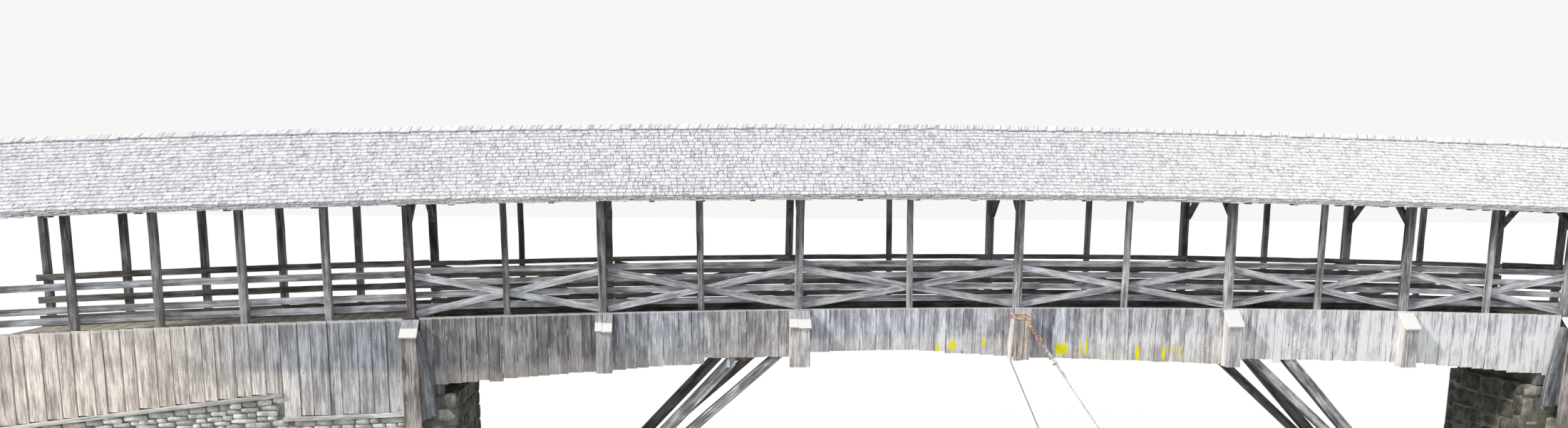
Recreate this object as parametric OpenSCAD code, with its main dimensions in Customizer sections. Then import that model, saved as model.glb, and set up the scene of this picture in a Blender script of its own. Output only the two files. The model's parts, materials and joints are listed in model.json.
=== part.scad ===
// A covered timber footbridge: a strut frame between two masonry piers, with boarded
// skirts, braced railings and a shingled roof. X runs along the bridge, Y across it, Z up.
// The origin is on the ground under the middle frame.

/* [Bays] */
// Distance from the middle frame to the next main frame
bay_middle = 3780; // [3300:10:4200]
// Distance from that frame to the next one outwards
bay_side = 3240; // [2900:10:3600]
// Distance from there to the frame over the pier
bay_pier = 3110; // [2800:10:3500]
// Distance between the frames of an approach
bay_approach = 1310; // [1150:10:1500]
// Number of frames in an approach, past the pier
approach_frames = 5; // [3:1:6]
// How far the roof runs past the last frame
roof_end = 500; // [350:10:700]

/* [Levels and width] */
// Height of the handrail's top over the ground at the middle frame
rail_level = 4700; // [4500:10:5200]
// Height of the handrail over the long beams
rail_over_beam = 800; // [740:10:860]
// How far the deck falls from the middle to the pier
camber = 157; // [60:1:260]
// Distance between the two rows of posts, centre to centre
row_gap = 1800; // [1600:10:2200]

/* [Posts and rails] */
// Width and depth of a main post
main_post = 150; // [120:5:180]
// Width of a thin post
thin_post = 100; // [80:5:130]
// Depth of a thin post
thin_depth = 80; // [60:5:90]
// Width and depth of an approach post
approach_post = 115; // [90:5:150]
// Thickness of the cross braces in the railing
brace_t = 60; // [40:5:65]
// Height of a cross brace, measured upright
brace_h = 115; // [80:5:140]
// Thickness of a rail board
board_t = 30; // [20:1:40]
// Height of a rail board
board_h = 100; // [80:5:120]
// Step from one rail board to the next
board_step = 195; // [180:5:205]
// Height of a back rail board
back_board_h = 88; // [75:1:110]
// Step from one back rail board to the next
back_step = 221; // [200:1:235]
// Depth of an approach's front handrail below the middle's handrail line
top_rail_below = 42; // [10:1:80]
// Depth of an approach's middle front rail below that line
mid_rail_below = 412; // [350:1:440]
// Depth of an approach's lower front rail below that line
low_rail_below = 585; // [560:1:650]
// Height of an approach's rails
approach_rail_h = 110; // [90:5:130]
// Height of an approach's back handrail over that line
back_top_rail_up = 25; // [0:1:40]
// Depth of an approach's middle back rail below that line
back_mid_rail_below = 366; // [330:1:400]
// Depth of an approach's lower back rail below that line
back_low_rail_below = 690; // [640:1:720]

/* [Beams] */
// Height of the long beams
beam_h = 240; // [200:5:300]
// Height of the cross beams
cross_h = 220; // [180:5:260]
// Width of the cross beams
cross_w = 180; // [150:5:220]
// Height of the straining beams and saddles
strain_h = 230; // [190:5:260]
// Height of the head beams on the outer struts
head_h = 190; // [150:5:220]
// Width of the head beams
head_w = 180; // [150:5:210]
// Thickness of the floor
floor_t = 40; // [30:5:60]

/* [Struts] */
// Thickness of an outer strut
outer_strut = 185; // [150:5:200]
// Thickness of an inner strut
inner_strut = 145; // [120:5:160]
// Distance from the middle frame to the middle of the struts' feet
foot_out = 6640; // [6400:10:6900]
// Height of the middle of the struts' feet over the ground
foot_up = 1040; // [900:10:1300]
// Distance from the next main frame to the head of an outer strut
head_apart = 1070; // [950:10:1170]
// Length of a saddle on the head beam
saddle_len = 1200; // [900:10:1250]

/* [Piers and approaches] */
// Distance from the frame over the pier to the pier's river face
pier_face = 700; // [500:10:900]
// Length of the pier along the bridge
pier_len = 860; // [860:10:1200]
// How far the approach wall stands out from the posts
wall_out = 60; // [45:5:120]
// Height of the ledge on top of the pier
pier_top = 2480; // [2200:10:2600]
// Height of the approach wall next to the pier
near_wall_h = 2120; // [1950:10:2200]
// How far that part of the wall falls up to its step
near_wall_fall = 65; // [0:5:120]
// Distance from the pier's frame to the step in the approach wall
wall_step = 2070; // [1800:10:2300]
// Height of the approach wall just past the step
far_wall_h = 2465; // [2300:10:2550]
// Height of the approach wall at its end
end_wall_h = 1910; // [1700:10:2200]
// Thickness of the sill plank on the approach wall
sill_h = 75; // [60:5:100]
// How far an approach's floor lies over the bridge's floor
deck_raise = 115; // [60:5:130]

/* [Roof] */
// Half of the roof's width
roof_half = 1380; // [1250:10:1500]
// Height of the eave's lower edge over the handrail
eave_over_rail = 1015; // [950:5:1100]
// Height of the roof's top over the handrail
ridge_over_rail = 2275; // [2150:5:2400]
// Upright thickness of the roof's covering
roof_t = 110; // [80:5:140]
// Upright depth of a rafter
rafter_h = 120; // [90:5:150]
// Width of a rafter
rafter_w = 80; // [60:5:110]
// Height of a wall plate
plate_h = 130; // [100:5:160]
// Height of a tie beam
tie_h = 140; // [110:5:170]
// Length of a knee brace's upright side
knee = 340; // [250:10:420]

/* [Boarding] */
// Thickness of the skirt boards
skirt_t = 30; // [20:1:40]
// How far a casing stands out from the skirt
casing_out = 210; // [170:5:260]
// Thickness of the casing boards
casing_t = 30; // [20:1:40]
// Width of the middle casing
middle_casing = 280; // [260:5:300]
// Width of the casing left of the middle one
wide_casing = 335; // [280:5:360]
// Upright thickness of the sloping cap on a casing
cap_t = 45; // [30:5:60]
// Fall of a casing's cap for each millimetre outwards
cap_slope = 0.95; // [0.7:0.05:1.05]
// Depth of the lower end of a pier casing's wing below the middle's handrail
wing_below = 2590; // [2400:10:2700]

/* [Stays] */
// Diameter of the stay's wire rope
rope_d = 26; // [20:1:28]
// Distance from the bridge's middle line to a stay's anchor
stay_out = 3200; // [2600:10:4000]
// Distance along the bridge from the middle frame to a stay's anchor
stay_along = 2145; // [1500:10:2600]
// Thickness of the round bar in a small chain link
link_bar = 16; // [12:1:18]
// Inner length of a small chain link
link_len = 62; // [55:1:80]
// Thickness of the round bar in the large link
ring_bar = 22; // [18:1:24]
// Inner length of the large link
ring_len = 130; // [100:1:160]
// Thickness of the shackle's bow and pin
shackle_bar = 18; // [14:1:20]
// Inner length of the shackle
shackle_len = 90; // [80:1:110]

/* [Hidden] */

gap = 0.3;
seat = cross_w / 2 + 10;
beam_w = main_post;
row = row_gap / 2;
post_out = row + main_post / 2;
post_in = row - main_post / 2;

main_x = [0, bay_middle, bay_middle + bay_side, bay_middle + bay_side + bay_pier];
pier_x = main_x[3];
thin_x = [for (i = [0:2]) (main_x[i] + main_x[i + 1]) / 2];
quarter_x = [for (i = [0:2], s = [-1, 1]) thin_x[i] + s * (main_x[i + 1] - main_x[i]) / 4];
approach_x = [for (i = [1:approach_frames]) pier_x + i * bay_approach];
last_x = approach_x[approach_frames - 1];
beam_end = last_x + main_post;
roof_len = last_x + roof_end;

function both(xs) = [for (x = xs) if (x > 0) -x, for (x = xs) x];
function drop(x) = camber * pow(x / pier_x, 2);
function level(x, below) = rail_level - below - drop(x);

// A run of flat seats, one at each frame, joined by straight slopes
frames_x = concat(main_x, thin_x, approach_x);
outer_head = bay_middle + head_apart;
head_x = outer_head - head_w / 2;
deck_x = concat(frames_x, [head_x]);
rafters_x = concat(frames_x, quarter_x);
function sorted(v) = len(v) < 2 ? v :
    let (p = v[0])
    concat(sorted([for (i = [1:len(v) - 1]) if (v[i] < p) v[i]]), [p],
           sorted([for (i = [1:len(v) - 1]) if (v[i] >= p) v[i]]));
function run(xs, from, to, below) = concat(
    [[from, level(from, below)]],
    [for (x = sorted(both(xs)), s = [-1, 1])
        if (x + s * seat > from && x + s * seat < to) [x + s * seat, level(x, below)]],
    [[to, level(to, below)]]);
function back_to_front(v) = [for (i = [len(v) - 1:-1:0]) v[i]];

// A board or beam that follows the camber, between two depths under the handrail
module band(xs, from, to, top, bottom, y_low, y_high) {
    translate([0, y_high, 0])
        rotate([90, 0, 0])
            linear_extrude(y_high - y_low)
                polygon(concat(run(xs, from, to, top),
                               back_to_front(run(xs, from, to, bottom))));
}

// An outline in the XZ plane, given its depth along Y
module side_plate(points, y_low, y_high) {
    translate([0, y_high, 0])
        rotate([90, 0, 0])
            linear_extrude(y_high - y_low)
                polygon(points);
}

// An outline in the YZ plane, given its width along X
module cross_plate(points, x_low, x_high) {
    translate([x_low, 0, 0])
        rotate([90, 0, 90])
            linear_extrude(x_high - x_low)
                polygon(points);
}

module block(x_low, x_high, y_low, y_high, z_low, z_high) {
    translate([x_low, y_low, z_low])
        cube([x_high - x_low, y_high - y_low, z_high - z_low]);
}

// The same piece on the front and on the back of the bridge
module front_and_back() {
    children();
    mirror([0, 1, 0]) children();
}

module left_and_right() {
    children();
    mirror([1, 0, 0]) children();
}

module side_of(front) {
    if (front) children();
    else mirror([0, 1, 0]) children();
}

module end_of(left) {
    if (left) mirror([1, 0, 0]) children();
    else children();
}

// Levels of the timber frame, measured down from the handrail
beam_top = rail_over_beam;
beam_low = beam_top + beam_h;
floor_top = beam_low - floor_t;
cross_low = beam_low + cross_h;
strain_low = cross_low + strain_h;
head_low = strain_low + head_h;
roof_rise = (ridge_over_rail - roof_t - eave_over_rail) / roof_half;
plate_top = -(eave_over_rail + (roof_half - row) * roof_rise - rafter_h);
plate_low = plate_top + plate_h;
tie_top = plate_low;
tie_low = tie_top + tie_h;

// Masonry
pier_in = pier_x - pier_face;
pier_back = pier_in + pier_len;
wall_face = post_out + wall_out;
core_face = post_in;
step_x = pier_x + wall_step;
pier_top_z = level(pier_x, cross_low);

// The pier: a broad block with a ledge round the core that carries the timber
module pier(left) {
    color("#8f8a80") end_of(left) {
        block(pier_in, pier_back, -post_out, post_out, 0, pier_top);
        block(pier_in + pier_face / 2, pier_back, -core_face, core_face,
              pier_top - 1, pier_top_z);
    }
}

// The wall's top edge under the skirts, raised by what lies on it
step_wall_h = near_wall_h - near_wall_fall;
function wall_top(up) = [
    [pier_back + gap, near_wall_h + up], [step_x, step_wall_h + up],
    [step_x, far_wall_h + up], [beam_end, end_wall_h + up]];

module approach_wall(left) {
    color("#a19c90") end_of(left) {
        side_plate(concat(run(approach_x, pier_back + gap, beam_end, cross_low),
                          [[beam_end, 0], [pier_back + gap, 0]]),
                   -core_face, core_face);
        side_plate(concat(wall_top(0), [[beam_end, 0], [pier_back + gap, 0]]),
                   -wall_face, wall_face);
    }
}

// Struts: their heads, feet and the sloping face of the footing that takes them
head_z = level(head_x, strain_low);
inner_head_x = bay_middle + 120;
inner_head_z = level(inner_head_x, cross_low + strain_h / 2);
inner_cut_z = level(inner_head_x, cross_low) - gap;
foot_mid = [foot_out, foot_up];
outer_top = [outer_head, head_z - head_h * 0.6];
inner_top = [inner_head_x, inner_head_z];
function unit(v) = v / norm(v);
face_dir = unit(unit(foot_mid - outer_top) + unit(foot_mid - inner_top));
face_along = [-face_dir[1], face_dir[0]];
foot_apart = (outer_strut + inner_strut) / 4 + 5;
outer_dir = unit(foot_mid + face_along * foot_apart - outer_top);
inner_dir = unit(foot_mid - face_along * foot_apart - inner_top);
strut_past = 2 * (strain_h + head_h);

function across(d, t) = [-d[1] * t / 2, d[0] * t / 2];
// Distance along a strut's edge from a point to the footing's face
function to_face(p, d) =
    ((foot_mid - p) * face_dir) / (d * face_dir);

module strut_shape(p, d, t, stretch) {
    a = p + across(d, t) - d * stretch;
    b = p - across(d, t) - d * stretch;
    polygon([a, b, b + d * (to_face(b, d) - gap), a + d * (to_face(a, d) - gap)]);
}

module struts(p, d, t, left, limit_x, limit_z) {
    color("#6f6a66") end_of(left)
        front_and_back()
            translate([0, -post_in, 0])
                rotate([90, 0, 0])
                    linear_extrude(beam_w)
                        intersection() {
                            strut_shape(p, d, t, strut_past);
                            polygon([[limit_x, 0], [pier_x, 0], [pier_x, limit_z],
                                     [limit_x, limit_z]]);
                        }
}

// A seat with a sloping face on a block of masonry
footing_len = 600;
foot_margin = 90;
module footing_block(left) {
    inner = foot_mid - face_along * (foot_apart + inner_strut / 2 + foot_margin);
    outer = foot_mid + face_along * (foot_apart + outer_strut / 2 + foot_margin);
    color("#979287") end_of(left)
        side_plate([[inner[0], 0], inner, outer, [outer[0] + footing_len, outer[1]],
                    [outer[0] + footing_len, 0]],
                   -wall_face, wall_face);
}

// Short posts on the pier's ledge under the long beams
module pier_posts() {
    color("#7f7a66") left_and_right() front_and_back()
        difference() {
            block(pier_in + pier_post_in, pier_in + pier_post_in + pier_post_w,
                  -post_out, -core_face - gap, pier_top, rail_level - beam_top);
            translate([0, -post_in + 1, 0])
                rotate([90, 0, 0])
                    linear_extrude(beam_w + 2)
                        polygon(concat(run(deck_x, thin_x[2], pier_back, beam_low),
                                       [[pier_back, rail_level], [thin_x[2], rail_level]]));
        }
}
pier_post_in = 235;
pier_post_w = 160;

// Timber frame
module long_beam(front) {
    color("#77726c") side_of(front)
        band(deck_x, -beam_end, beam_end, beam_top, beam_low, -post_out, -post_in);
}

module cross_beam(x, reach) {
    block(x - cross_w / 2, x + cross_w / 2, -reach, reach,
          level(x, cross_low), level(x, beam_low));
}

module cross_beams() {
    color("#6b655e") {
        for (x = both(main_x))
            cross_beam(x, post_out + skirt_t + casing_out - casing_t - 30);
        for (x = both(concat(thin_x, approach_x, [head_x]))) cross_beam(x, post_out);
    }
}

module straining_beams() {
    color("#66605a") front_and_back()
        band([0, bay_middle, thin_x[0]], -inner_head_x, inner_head_x, cross_low, strain_low,
             -post_out, -post_in);
}

module strut_saddles() {
    color("#66605a") left_and_right() front_and_back()
        band([head_x, thin_x[1]], head_x - saddle_len / 4, head_x + saddle_len * 3 / 4,
             cross_low, strain_low, -post_out, -post_in);
}

module head_beams() {
    end = post_out;
    color("#8a847b") left_and_right()
        cross_plate([[-end, head_z], [end, head_z], [end, head_z - head_h / 2],
                     [post_in, head_z - head_h], [-post_in, head_z - head_h],
                     [-end, head_z - head_h / 2]],
                    outer_head - head_w, outer_head);
}

module bridge_floor() {
    color("#b5a68c")
        band(deck_x, -beam_end, beam_end, floor_top, beam_low,
             -post_in + gap, post_in - gap);
}

// An approach's floor is a second layer on the bridge's floor
module approach_floors() {
    color("#bba982") left_and_right()
        band(deck_x, pier_x, beam_end, floor_top - deck_raise, floor_top - gap,
             -post_in + gap, post_in - gap);
}

module post(x, w, y_low, y_high) {
    block(x - w / 2, x + w / 2, y_low, y_high, level(x, beam_top), level(x, plate_low));
}

module main_posts(front) {
    color("#706c69") side_of(front)
        for (x = both(main_x)) post(x, main_post, -post_out, -post_in);
}

module thin_posts(front) {
    color("#7b7672") side_of(front)
        for (x = both(thin_x)) post(x, thin_post, -post_out, -post_out + thin_depth);
}

module approach_posts(front) {
    color("#76716c") side_of(front)
        for (x = both(approach_x))
            post(x, approach_post, -post_in - approach_post, -post_in);
}

// Two braces that cross behind the thin post of a bay, halved into each other
module cross_brace(a, b) {
    from = a + main_post / 2;
    to = b - main_post / 2;
    high_a = level(a, brace_below);
    high_b = level(b, brace_below);
    low_a = level(a, beam_top);
    low_b = level(b, beam_top);
    translate([0, -post_in, 0])
        rotate([90, 0, 0])
            linear_extrude(brace_t)
                difference() {
                    union() {
                        polygon([[from, high_a], [to, low_b + brace_h * 0.8], [to, low_b],
                                 [to - brace_foot, low_b], [from, high_a - brace_h]]);
                        polygon([[from, low_a], [from + brace_foot, low_a],
                                 [to, high_b - brace_h], [to, high_b],
                                 [from, low_a + brace_h * 0.8]]);
                    }
                    polygon(concat(run(deck_x, from - 1, to + 1, beam_top),
                                   [[to + 1, 0], [from - 1, 0]]));
                }
}
brace_below = 75;
brace_foot = brace_h * 1.4;

module cross_braces(front) {
    xs = sorted(both(main_x));
    color("#827d79") side_of(front)
        for (i = [0:len(xs) - 2]) cross_brace(xs[i], xs[i + 1]);
}

module rail_board(from, to, below, h) {
    band(frames_x, from, to, below, below + h, -post_in, -post_in + board_t);
}

module rail_boards(front) {
    step = front ? board_step : back_step;
    approach_rails = front ? [top_rail_below, mid_rail_below, low_rail_below]
        : [-back_top_rail_up, back_mid_rail_below, back_low_rail_below];
    color("#8b8783") side_of(front) {
        for (k = [0:3])
            rail_board(-rail_end, rail_end, k * step, front ? board_h : back_board_h);
        left_and_right()
            for (below = approach_rails)
                rail_board(rail_end + 3, beam_end, below, approach_rail_h);
    }
}
rail_end = pier_x + main_post / 2;

// Roof
module wall_plate(front) {
    color("#68635d") side_of(front)
        band(rafters_x, -roof_len + 60, roof_len - 60, plate_top, plate_low,
             -post_out, -post_in);
}

module tie_beams() {
    color("#6b665f")
        for (x = both(concat(main_x, approach_x)))
            block(x - 60, x + 60, -post_in, post_in, level(x, tie_low), level(x, tie_top));
}

module knee_braces() {
    color("#6d6862")
        for (x = both(main_x), s = [-1, 1])
            cross_plate([[s * post_in, level(x, tie_low + knee)],
                         [s * post_in, level(x, tie_low + knee - 130)],
                         [s * (post_in - knee + 130), level(x, tie_low)],
                         [s * (post_in - knee), level(x, tie_low)]],
                        x - 40, x + 40);
}

rafter_foot = roof_half - 60;
module rafter_pair(x) {
    z_foot = level(x, -eave_over_rail - (roof_half - rafter_foot) * roof_rise);
    z_top = level(x, -eave_over_rail - roof_half * roof_rise);
    difference() {
        cross_plate([[-rafter_foot, z_foot], [0, z_top], [rafter_foot, z_foot],
                     [rafter_foot, z_foot - rafter_h], [0, z_top - rafter_h],
                     [-rafter_foot, z_foot - rafter_h]],
                    x - rafter_w / 2, x + rafter_w / 2);
        front_and_back()
            block(x - rafter_w, x + rafter_w, -post_out, -post_in,
                  level(x, plate_top) - plate_h, level(x, plate_top));
    }
}

module rafters() {
    color("#7d776f")
        for (x = both(rafters_x)) rafter_pair(x);
}

// A cross section carried along the camber
module cambered_prism(section, stations) {
    n = len(section);
    m = len(stations);
    polyhedron(
        points = [for (s = stations, p = section) [s[0], p[0], p[1] + s[1]]],
        faces = concat(
            [[for (j = [n - 1:-1:0]) j]],
            [for (i = [0:m - 2], j = [0:n - 1])
                [i * n + j, i * n + (j + 1) % n, (i + 1) * n + (j + 1) % n, (i + 1) * n + j]],
            [[for (j = [0:n - 1]) (m - 1) * n + j]]));
}

eave_y = -roof_half;
eave_z = rail_level + eave_over_rail;
top_z = rail_level + ridge_over_rail;
roof_stations = [for (p = run(rafters_x, -roof_len, roof_len, 0)) [p[0], p[1] - rail_level]];

module roof(front) {
    color("#c9c6cc") side_of(front)
        cambered_prism([[eave_y, eave_z], [0, top_z - roof_t], [0, top_z],
                        [eave_y, eave_z + roof_t]], roof_stations);
}

module ridge_cap() {
    cap_half = 130;
    fall = cap_half * roof_rise;
    color("#bdbac2") front_and_back()
        cambered_prism([[-cap_half, top_z - fall + gap], [-gap / 2, top_z + gap],
                        [-gap / 2, top_z + cap_board_t], [-cap_half, top_z - fall + cap_board_t]],
                       roof_stations);
}
cap_board_t = 30;

// Boarding
skirt_in = post_out;
skirt_face = post_out + skirt_t;

// Depth of the skirt's lower edge below the handrail, at places along the bridge.
// The boards were put up in lots of different length, so the edge has two steps.
skirt_lots = [
    [-pier_x, 1920], [-main_x[2], 1760], [-thin_x[1] + 30, 1680], [-thin_x[1] + 31, 1590],
    [-main_x[1], 1590], [-main_x[1] + 1, 1515], [-thin_x[0], 1505], [0, 1640],
    [main_x[1] - 1, 1775], [main_x[1], 1670], [main_x[2], 1700], [pier_x, 1900]];
skirt_steps = 60;

module skirt(front) {
    to = pier_x - casing_w / 2 - 2;
    xs = sorted(concat([for (i = [0:skirt_steps]) -to + i * 2 * to / skirt_steps],
                       [for (p = skirt_lots) if (abs(p[0]) < to) p[0]]));
    low = [for (x = xs) [x, level(x, lookup(x, skirt_lots))]];
    color("#837c73") side_of(front)
        difference() {
            side_plate(concat(run(frames_x, -to, to, beam_top - 8), back_to_front(low)),
                       -skirt_face, -skirt_in - gap);
            for (x = both([0, main_x[1], main_x[2]]))
                block(x - cross_w / 2 - 2, x + cross_w / 2 + 2, -skirt_face - 1, -skirt_in,
                      level(x, cross_low) - 2, level(x, beam_low) + 2);
        }
}

module approach_skirts() {
    from = pier_x + casing_w / 2 + 2;
    foot = back_to_front(wall_top(sill_h + gap));
    color("#8d8780") left_and_right() front_and_back()
        side_plate(concat(run(frames_x, from, beam_end, beam_top - 8), foot,
                          [[from, near_wall_h + sill_h + gap]]),
                   -skirt_face, -skirt_in - gap);
}

module approach_sills() {
    color("#b3ab9d") left_and_right() front_and_back() {
        side_plate([[pier_back + gap, near_wall_h], [step_x, step_wall_h],
                    [step_x, step_wall_h + sill_h], [pier_back + gap, near_wall_h + sill_h]],
                   -wall_face - 15, -core_face - gap);
        side_plate([[step_x, far_wall_h], [beam_end, end_wall_h],
                    [beam_end, end_wall_h + sill_h], [step_x, far_wall_h + sill_h]],
                   -wall_face - 15, -core_face - gap);
    }
}

casing_face = skirt_face + casing_out;
casing_w = cross_w + 2 * casing_t + 10;
cap_top = rail_over_beam + 5;
cap_lip = 40;
hoop_h = 30;
hoop_t = 12;
hoop_top = rail_over_beam + 140;
plate_low_h = 135;
plate_w = 70;
function cap_low(x) = level(x, cap_top + cap_t) - cap_slope * (casing_out + cap_lip);

// The casings were renewed one by one, so their width and length differ
function width_at(x) = x == 0 ? middle_casing : x == -main_x[1] ? wide_casing : casing_w;
casing_feet = [[-main_x[2], 1770], [-main_x[1], 1740], [0, 1665],
               [main_x[1], 1790], [main_x[2], 1770]];

// Three boards round the projecting end of a cross beam, cut to the cap's slope
module casing(x, w, low, back) {
    difference() {
        block(x - w / 2, x + w / 2, -casing_face, -back - gap,
              low, level(x, cap_top + cap_t));
        block(x - w / 2 + casing_t, x + w / 2 - casing_t,
              -casing_face + casing_t, -back + 1, low - 1, level(x, cap_top) + 1);
        cross_plate([[-skirt_in, level(x, cap_top)],
                     [-skirt_in, level(x, cap_top + cap_t) + cap_slope * skirt_t],
                     [-casing_face - cap_lip, cap_low(x)],
                     [-casing_face - cap_lip, level(x, cap_top)]],
                    x - w, x + w);
    }
}

// The middle casing has no cap but a sunk lid
module beam_casings() {
    half = middle_casing / 2;
    foot = level(0, lookup(0, casing_feet));
    color("#857d74") front_and_back() {
        for (x = both([main_x[1], main_x[2]]))
            casing(x, width_at(x), level(x, lookup(x, casing_feet)), skirt_face);
        difference() {
            block(-half, half, -casing_face, -skirt_face - gap, foot, level(0, hoop_top));
            block(-half + casing_t, half - casing_t, -casing_face + casing_t,
                  -skirt_face + 1, foot - 1, level(0, hoop_top + 50));
            block(-half + casing_t, half - casing_t, -casing_face + casing_t,
                  -skirt_face + 1, level(0, hoop_top + 25), level(0, hoop_top) + 1);
        }
    }
}

module casing_cap(x) {
    cross_plate([[-skirt_face - gap, level(x, cap_top)],
                 [-skirt_face - gap, level(x, cap_top + cap_t) + gap],
                 [-casing_face - cap_lip, cap_low(x) + gap],
                 [-casing_face - cap_lip, cap_low(x) + cap_t]],
                x - width_at(x) / 2 - 15, x + width_at(x) / 2 + 15);
}

module casing_caps() {
    color("#b9b1a2") front_and_back()
        for (x = both([main_x[1], main_x[2], main_x[3]])) casing_cap(x);
}

// On a pier the casing runs down to the ground and widens, and a wing of boards
// spreads from its river side
module pier_casings() {
    wing_x = pier_x - casing_w / 2;
    color("#5f5149") left_and_right() front_and_back() {
        casing(pier_x, casing_w, 0, post_out);
        side_plate([[wing_x, level(pier_x, cross_low)],
                    [wing_x + casing_w, level(pier_x, cross_low)],
                    [wing_x + casing_w, 0], [wing_x - casing_flare, 0]],
                   -casing_face, -casing_face + casing_t);
        side_plate([[wing_x, level(pier_x, cap_top + cap_t + cap_slope * casing_out)],
                    [wing_x, wing_low], [wing_x - wing_out, wing_low],
                    [wing_x - wing_out, wing_low + casing_t]],
                   -casing_face + casing_t, -skirt_face - gap);
    }
}
casing_flare = 75;
wing_out = 260;
wing_low = rail_level - wing_below;

// Stays
module stay_hoops() {
    w = middle_casing / 2 + hoop_t;
    color("#8d5a34") front_and_back() {
        block(w - plate_w, w, -casing_face - hoop_t, -casing_face - gap,
              level(0, hoop_top + plate_low_h), level(0, hoop_top + hoop_h) + 1);
        difference() {
            block(-w, w, -casing_face - hoop_t, -skirt_face - gap,
                  level(0, hoop_top + hoop_h), level(0, hoop_top));
            block(-w + hoop_t - gap, w - hoop_t + gap, -casing_face - gap, -skirt_face + 1,
                  level(0, hoop_top + hoop_h) - 1, level(0, hoop_top) + 1);
        }
        difference() {
            along_stay(0)
                translate([-lug_r, -lug_t / 2, -lug_back])
                    cube([2 * lug_r, lug_t, lug_back + lug_r]);
            along_stay(0)
                rotate([90, 0, 0])
                    cylinder(d = link_bar + 3, h = 2 * lug_t, center = true, $fn = 32);
            block(-w, 2 * w, 1 - casing_face - hoop_t, -skirt_face,
                  stay_from[2] - lug_back, stay_from[2] + 2 * lug_back);
        }
    }
}

lug_t = 10;
lug_r = link_bar / 2 + 14;
lug_back = 110;
stay_from = [middle_casing / 2 - 5, -casing_face - hoop_t - link_bar - 14,
             level(0, hoop_top + plate_low_h + 20)];
stay_to = [stay_along, -stay_out, 260];
stay_dir = (stay_to - stay_from) / norm(stay_to - stay_from);

// Turns +Z to the stay's direction and moves to a distance along it
module along_stay(distance) {
    translate(stay_from + stay_dir * distance)
        rotate([0, acos(stay_dir[2]), atan2(stay_dir[1], stay_dir[0])])
            children();
}

link_count = 3;
link_pitch = link_len - gap;
ring_at = link_bar / 2 + link_count * link_pitch + ring_len / 2;
shackle_at = ring_at + ring_len / 2 - gap;
pin_at = shackle_at + shackle_len + shackle_bar / 2;

// A link with straight sides, its middle at the origin and its length along Z
module link(bar, inner, turn) {
    r = bar * 1.4;
    half = inner / 2 + bar / 2 - r;
    rotate([0, 0, turn]) {
        for (s = [-1, 1]) {
            translate([s * r, 0, -half])
                cylinder(d = bar, h = 2 * half, $fn = 16);
            translate([0, 0, s * half])
                rotate([90, 0, 0])
                    rotate([0, 0, s > 0 ? 0 : 180])
                        rotate_extrude(angle = 180, $fn = 32)
                            translate([r, 0])
                                circle(d = bar, $fn = 16);
        }
    }
}

module stay_chains() {
    color("#8a5a36") front_and_back() {
        for (i = [0:link_count - 1])
            along_stay(link_bar / 2 + link_len / 2 + i * link_pitch)
                link(link_bar, link_len, 90 + i % 2 * 90);
        along_stay(ring_at) link(ring_bar, ring_len, 90 + link_count % 2 * 90);
    }
}

// A bow shackle: the bow holds the large link, the pin holds the rope's eye
module stay_shackles() {
    r = eye_r + 9;
    turn = 90 + (link_count + 1) % 2 * 90;
    start = shackle_at - shackle_bar / 2 + r;
    color("#6f665e") front_and_back() along_stay(0) rotate([0, 0, turn]) {
        for (s = [-1, 1])
            translate([s * r, 0, start])
                cylinder(d = shackle_bar, h = pin_at - start + shackle_bar, $fn = 32);
        translate([0, 0, start])
            rotate([90, 0, 0])
                rotate([0, 0, 180])
                    rotate_extrude(angle = 180, $fn = 32)
                        translate([r, 0])
                            circle(d = shackle_bar, $fn = 32);
        translate([0, 0, pin_at])
            rotate([0, 90, 0])
                cylinder(d = pin_d, h = 2 * r + 2 * shackle_bar, center = true,
                         $fn = 32);
    }
}

// The rope comes round the pin in an eye, and its tail lies beside it
pin_d = shackle_bar - 2;
eye_r = pin_d / 2 + rope_d / 2 + gap;
strand_off = rope_d / 2 + gap;
tail_len = 620;
rope_len = norm(stay_to - stay_from) - pin_at;
module stay_ropes() {
    color("#a9a49b") front_and_back()
        difference() {
            along_stay(pin_at) rotate([0, 0, (link_count + 1) % 2 * 90]) {
                rotate([90, 0, 0])
                    rotate_extrude($fn = 48)
                        translate([eye_r, 0])
                            circle(d = rope_d, $fn = 32);
                translate([strand_off, 0, eye_r])
                    cylinder(d = rope_d, h = rope_len + rope_d, $fn = 32);
                translate([-strand_off, 0, eye_r])
                    cylinder(d = rope_d, h = tail_len, $fn = 32);
            }
            block(stay_along - 200, stay_along + 200, -stay_out - 200, -stay_out + 200,
                  0, stay_to[2] + gap);
        }
}

module stay_anchors() {
    color("#7c776d") front_and_back()
        block(stay_along - 160, stay_along + 160, -stay_out - 160, -stay_out + 160,
              0, stay_to[2]);
}

pier(true);  // left_pier
pier(false);  // right_pier
approach_wall(true);  // left_approach_wall
approach_wall(false);  // right_approach_wall
footing_block(true);  // left_strut_footing
footing_block(false);  // right_strut_footing
approach_sills();
pier_posts();
long_beam(true);  // front_long_beam
long_beam(false);  // back_long_beam
cross_beams();
straining_beams();
strut_saddles();
head_beams();
struts(outer_top, outer_dir, outer_strut, true, outer_head, head_z - gap);  // left_outer_struts
struts(inner_top, inner_dir, inner_strut, true, inner_head_x, inner_cut_z);  // left_inner_struts
struts(outer_top, outer_dir, outer_strut, false, outer_head, head_z - gap);  // right_outer_struts
struts(inner_top, inner_dir, inner_strut, false, inner_head_x, inner_cut_z);  // right_inner_struts
bridge_floor();  // floor
approach_floors();
main_posts(true);  // front_main_posts
main_posts(false);  // back_main_posts
thin_posts(true);  // front_thin_posts
thin_posts(false);  // back_thin_posts
approach_posts(true);  // front_approach_posts
approach_posts(false);  // back_approach_posts
cross_braces(true);  // front_cross_braces
cross_braces(false);  // back_cross_braces
rail_boards(true);  // front_rail_boards
rail_boards(false);  // back_rail_boards
wall_plate(true);  // front_wall_plate
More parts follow.
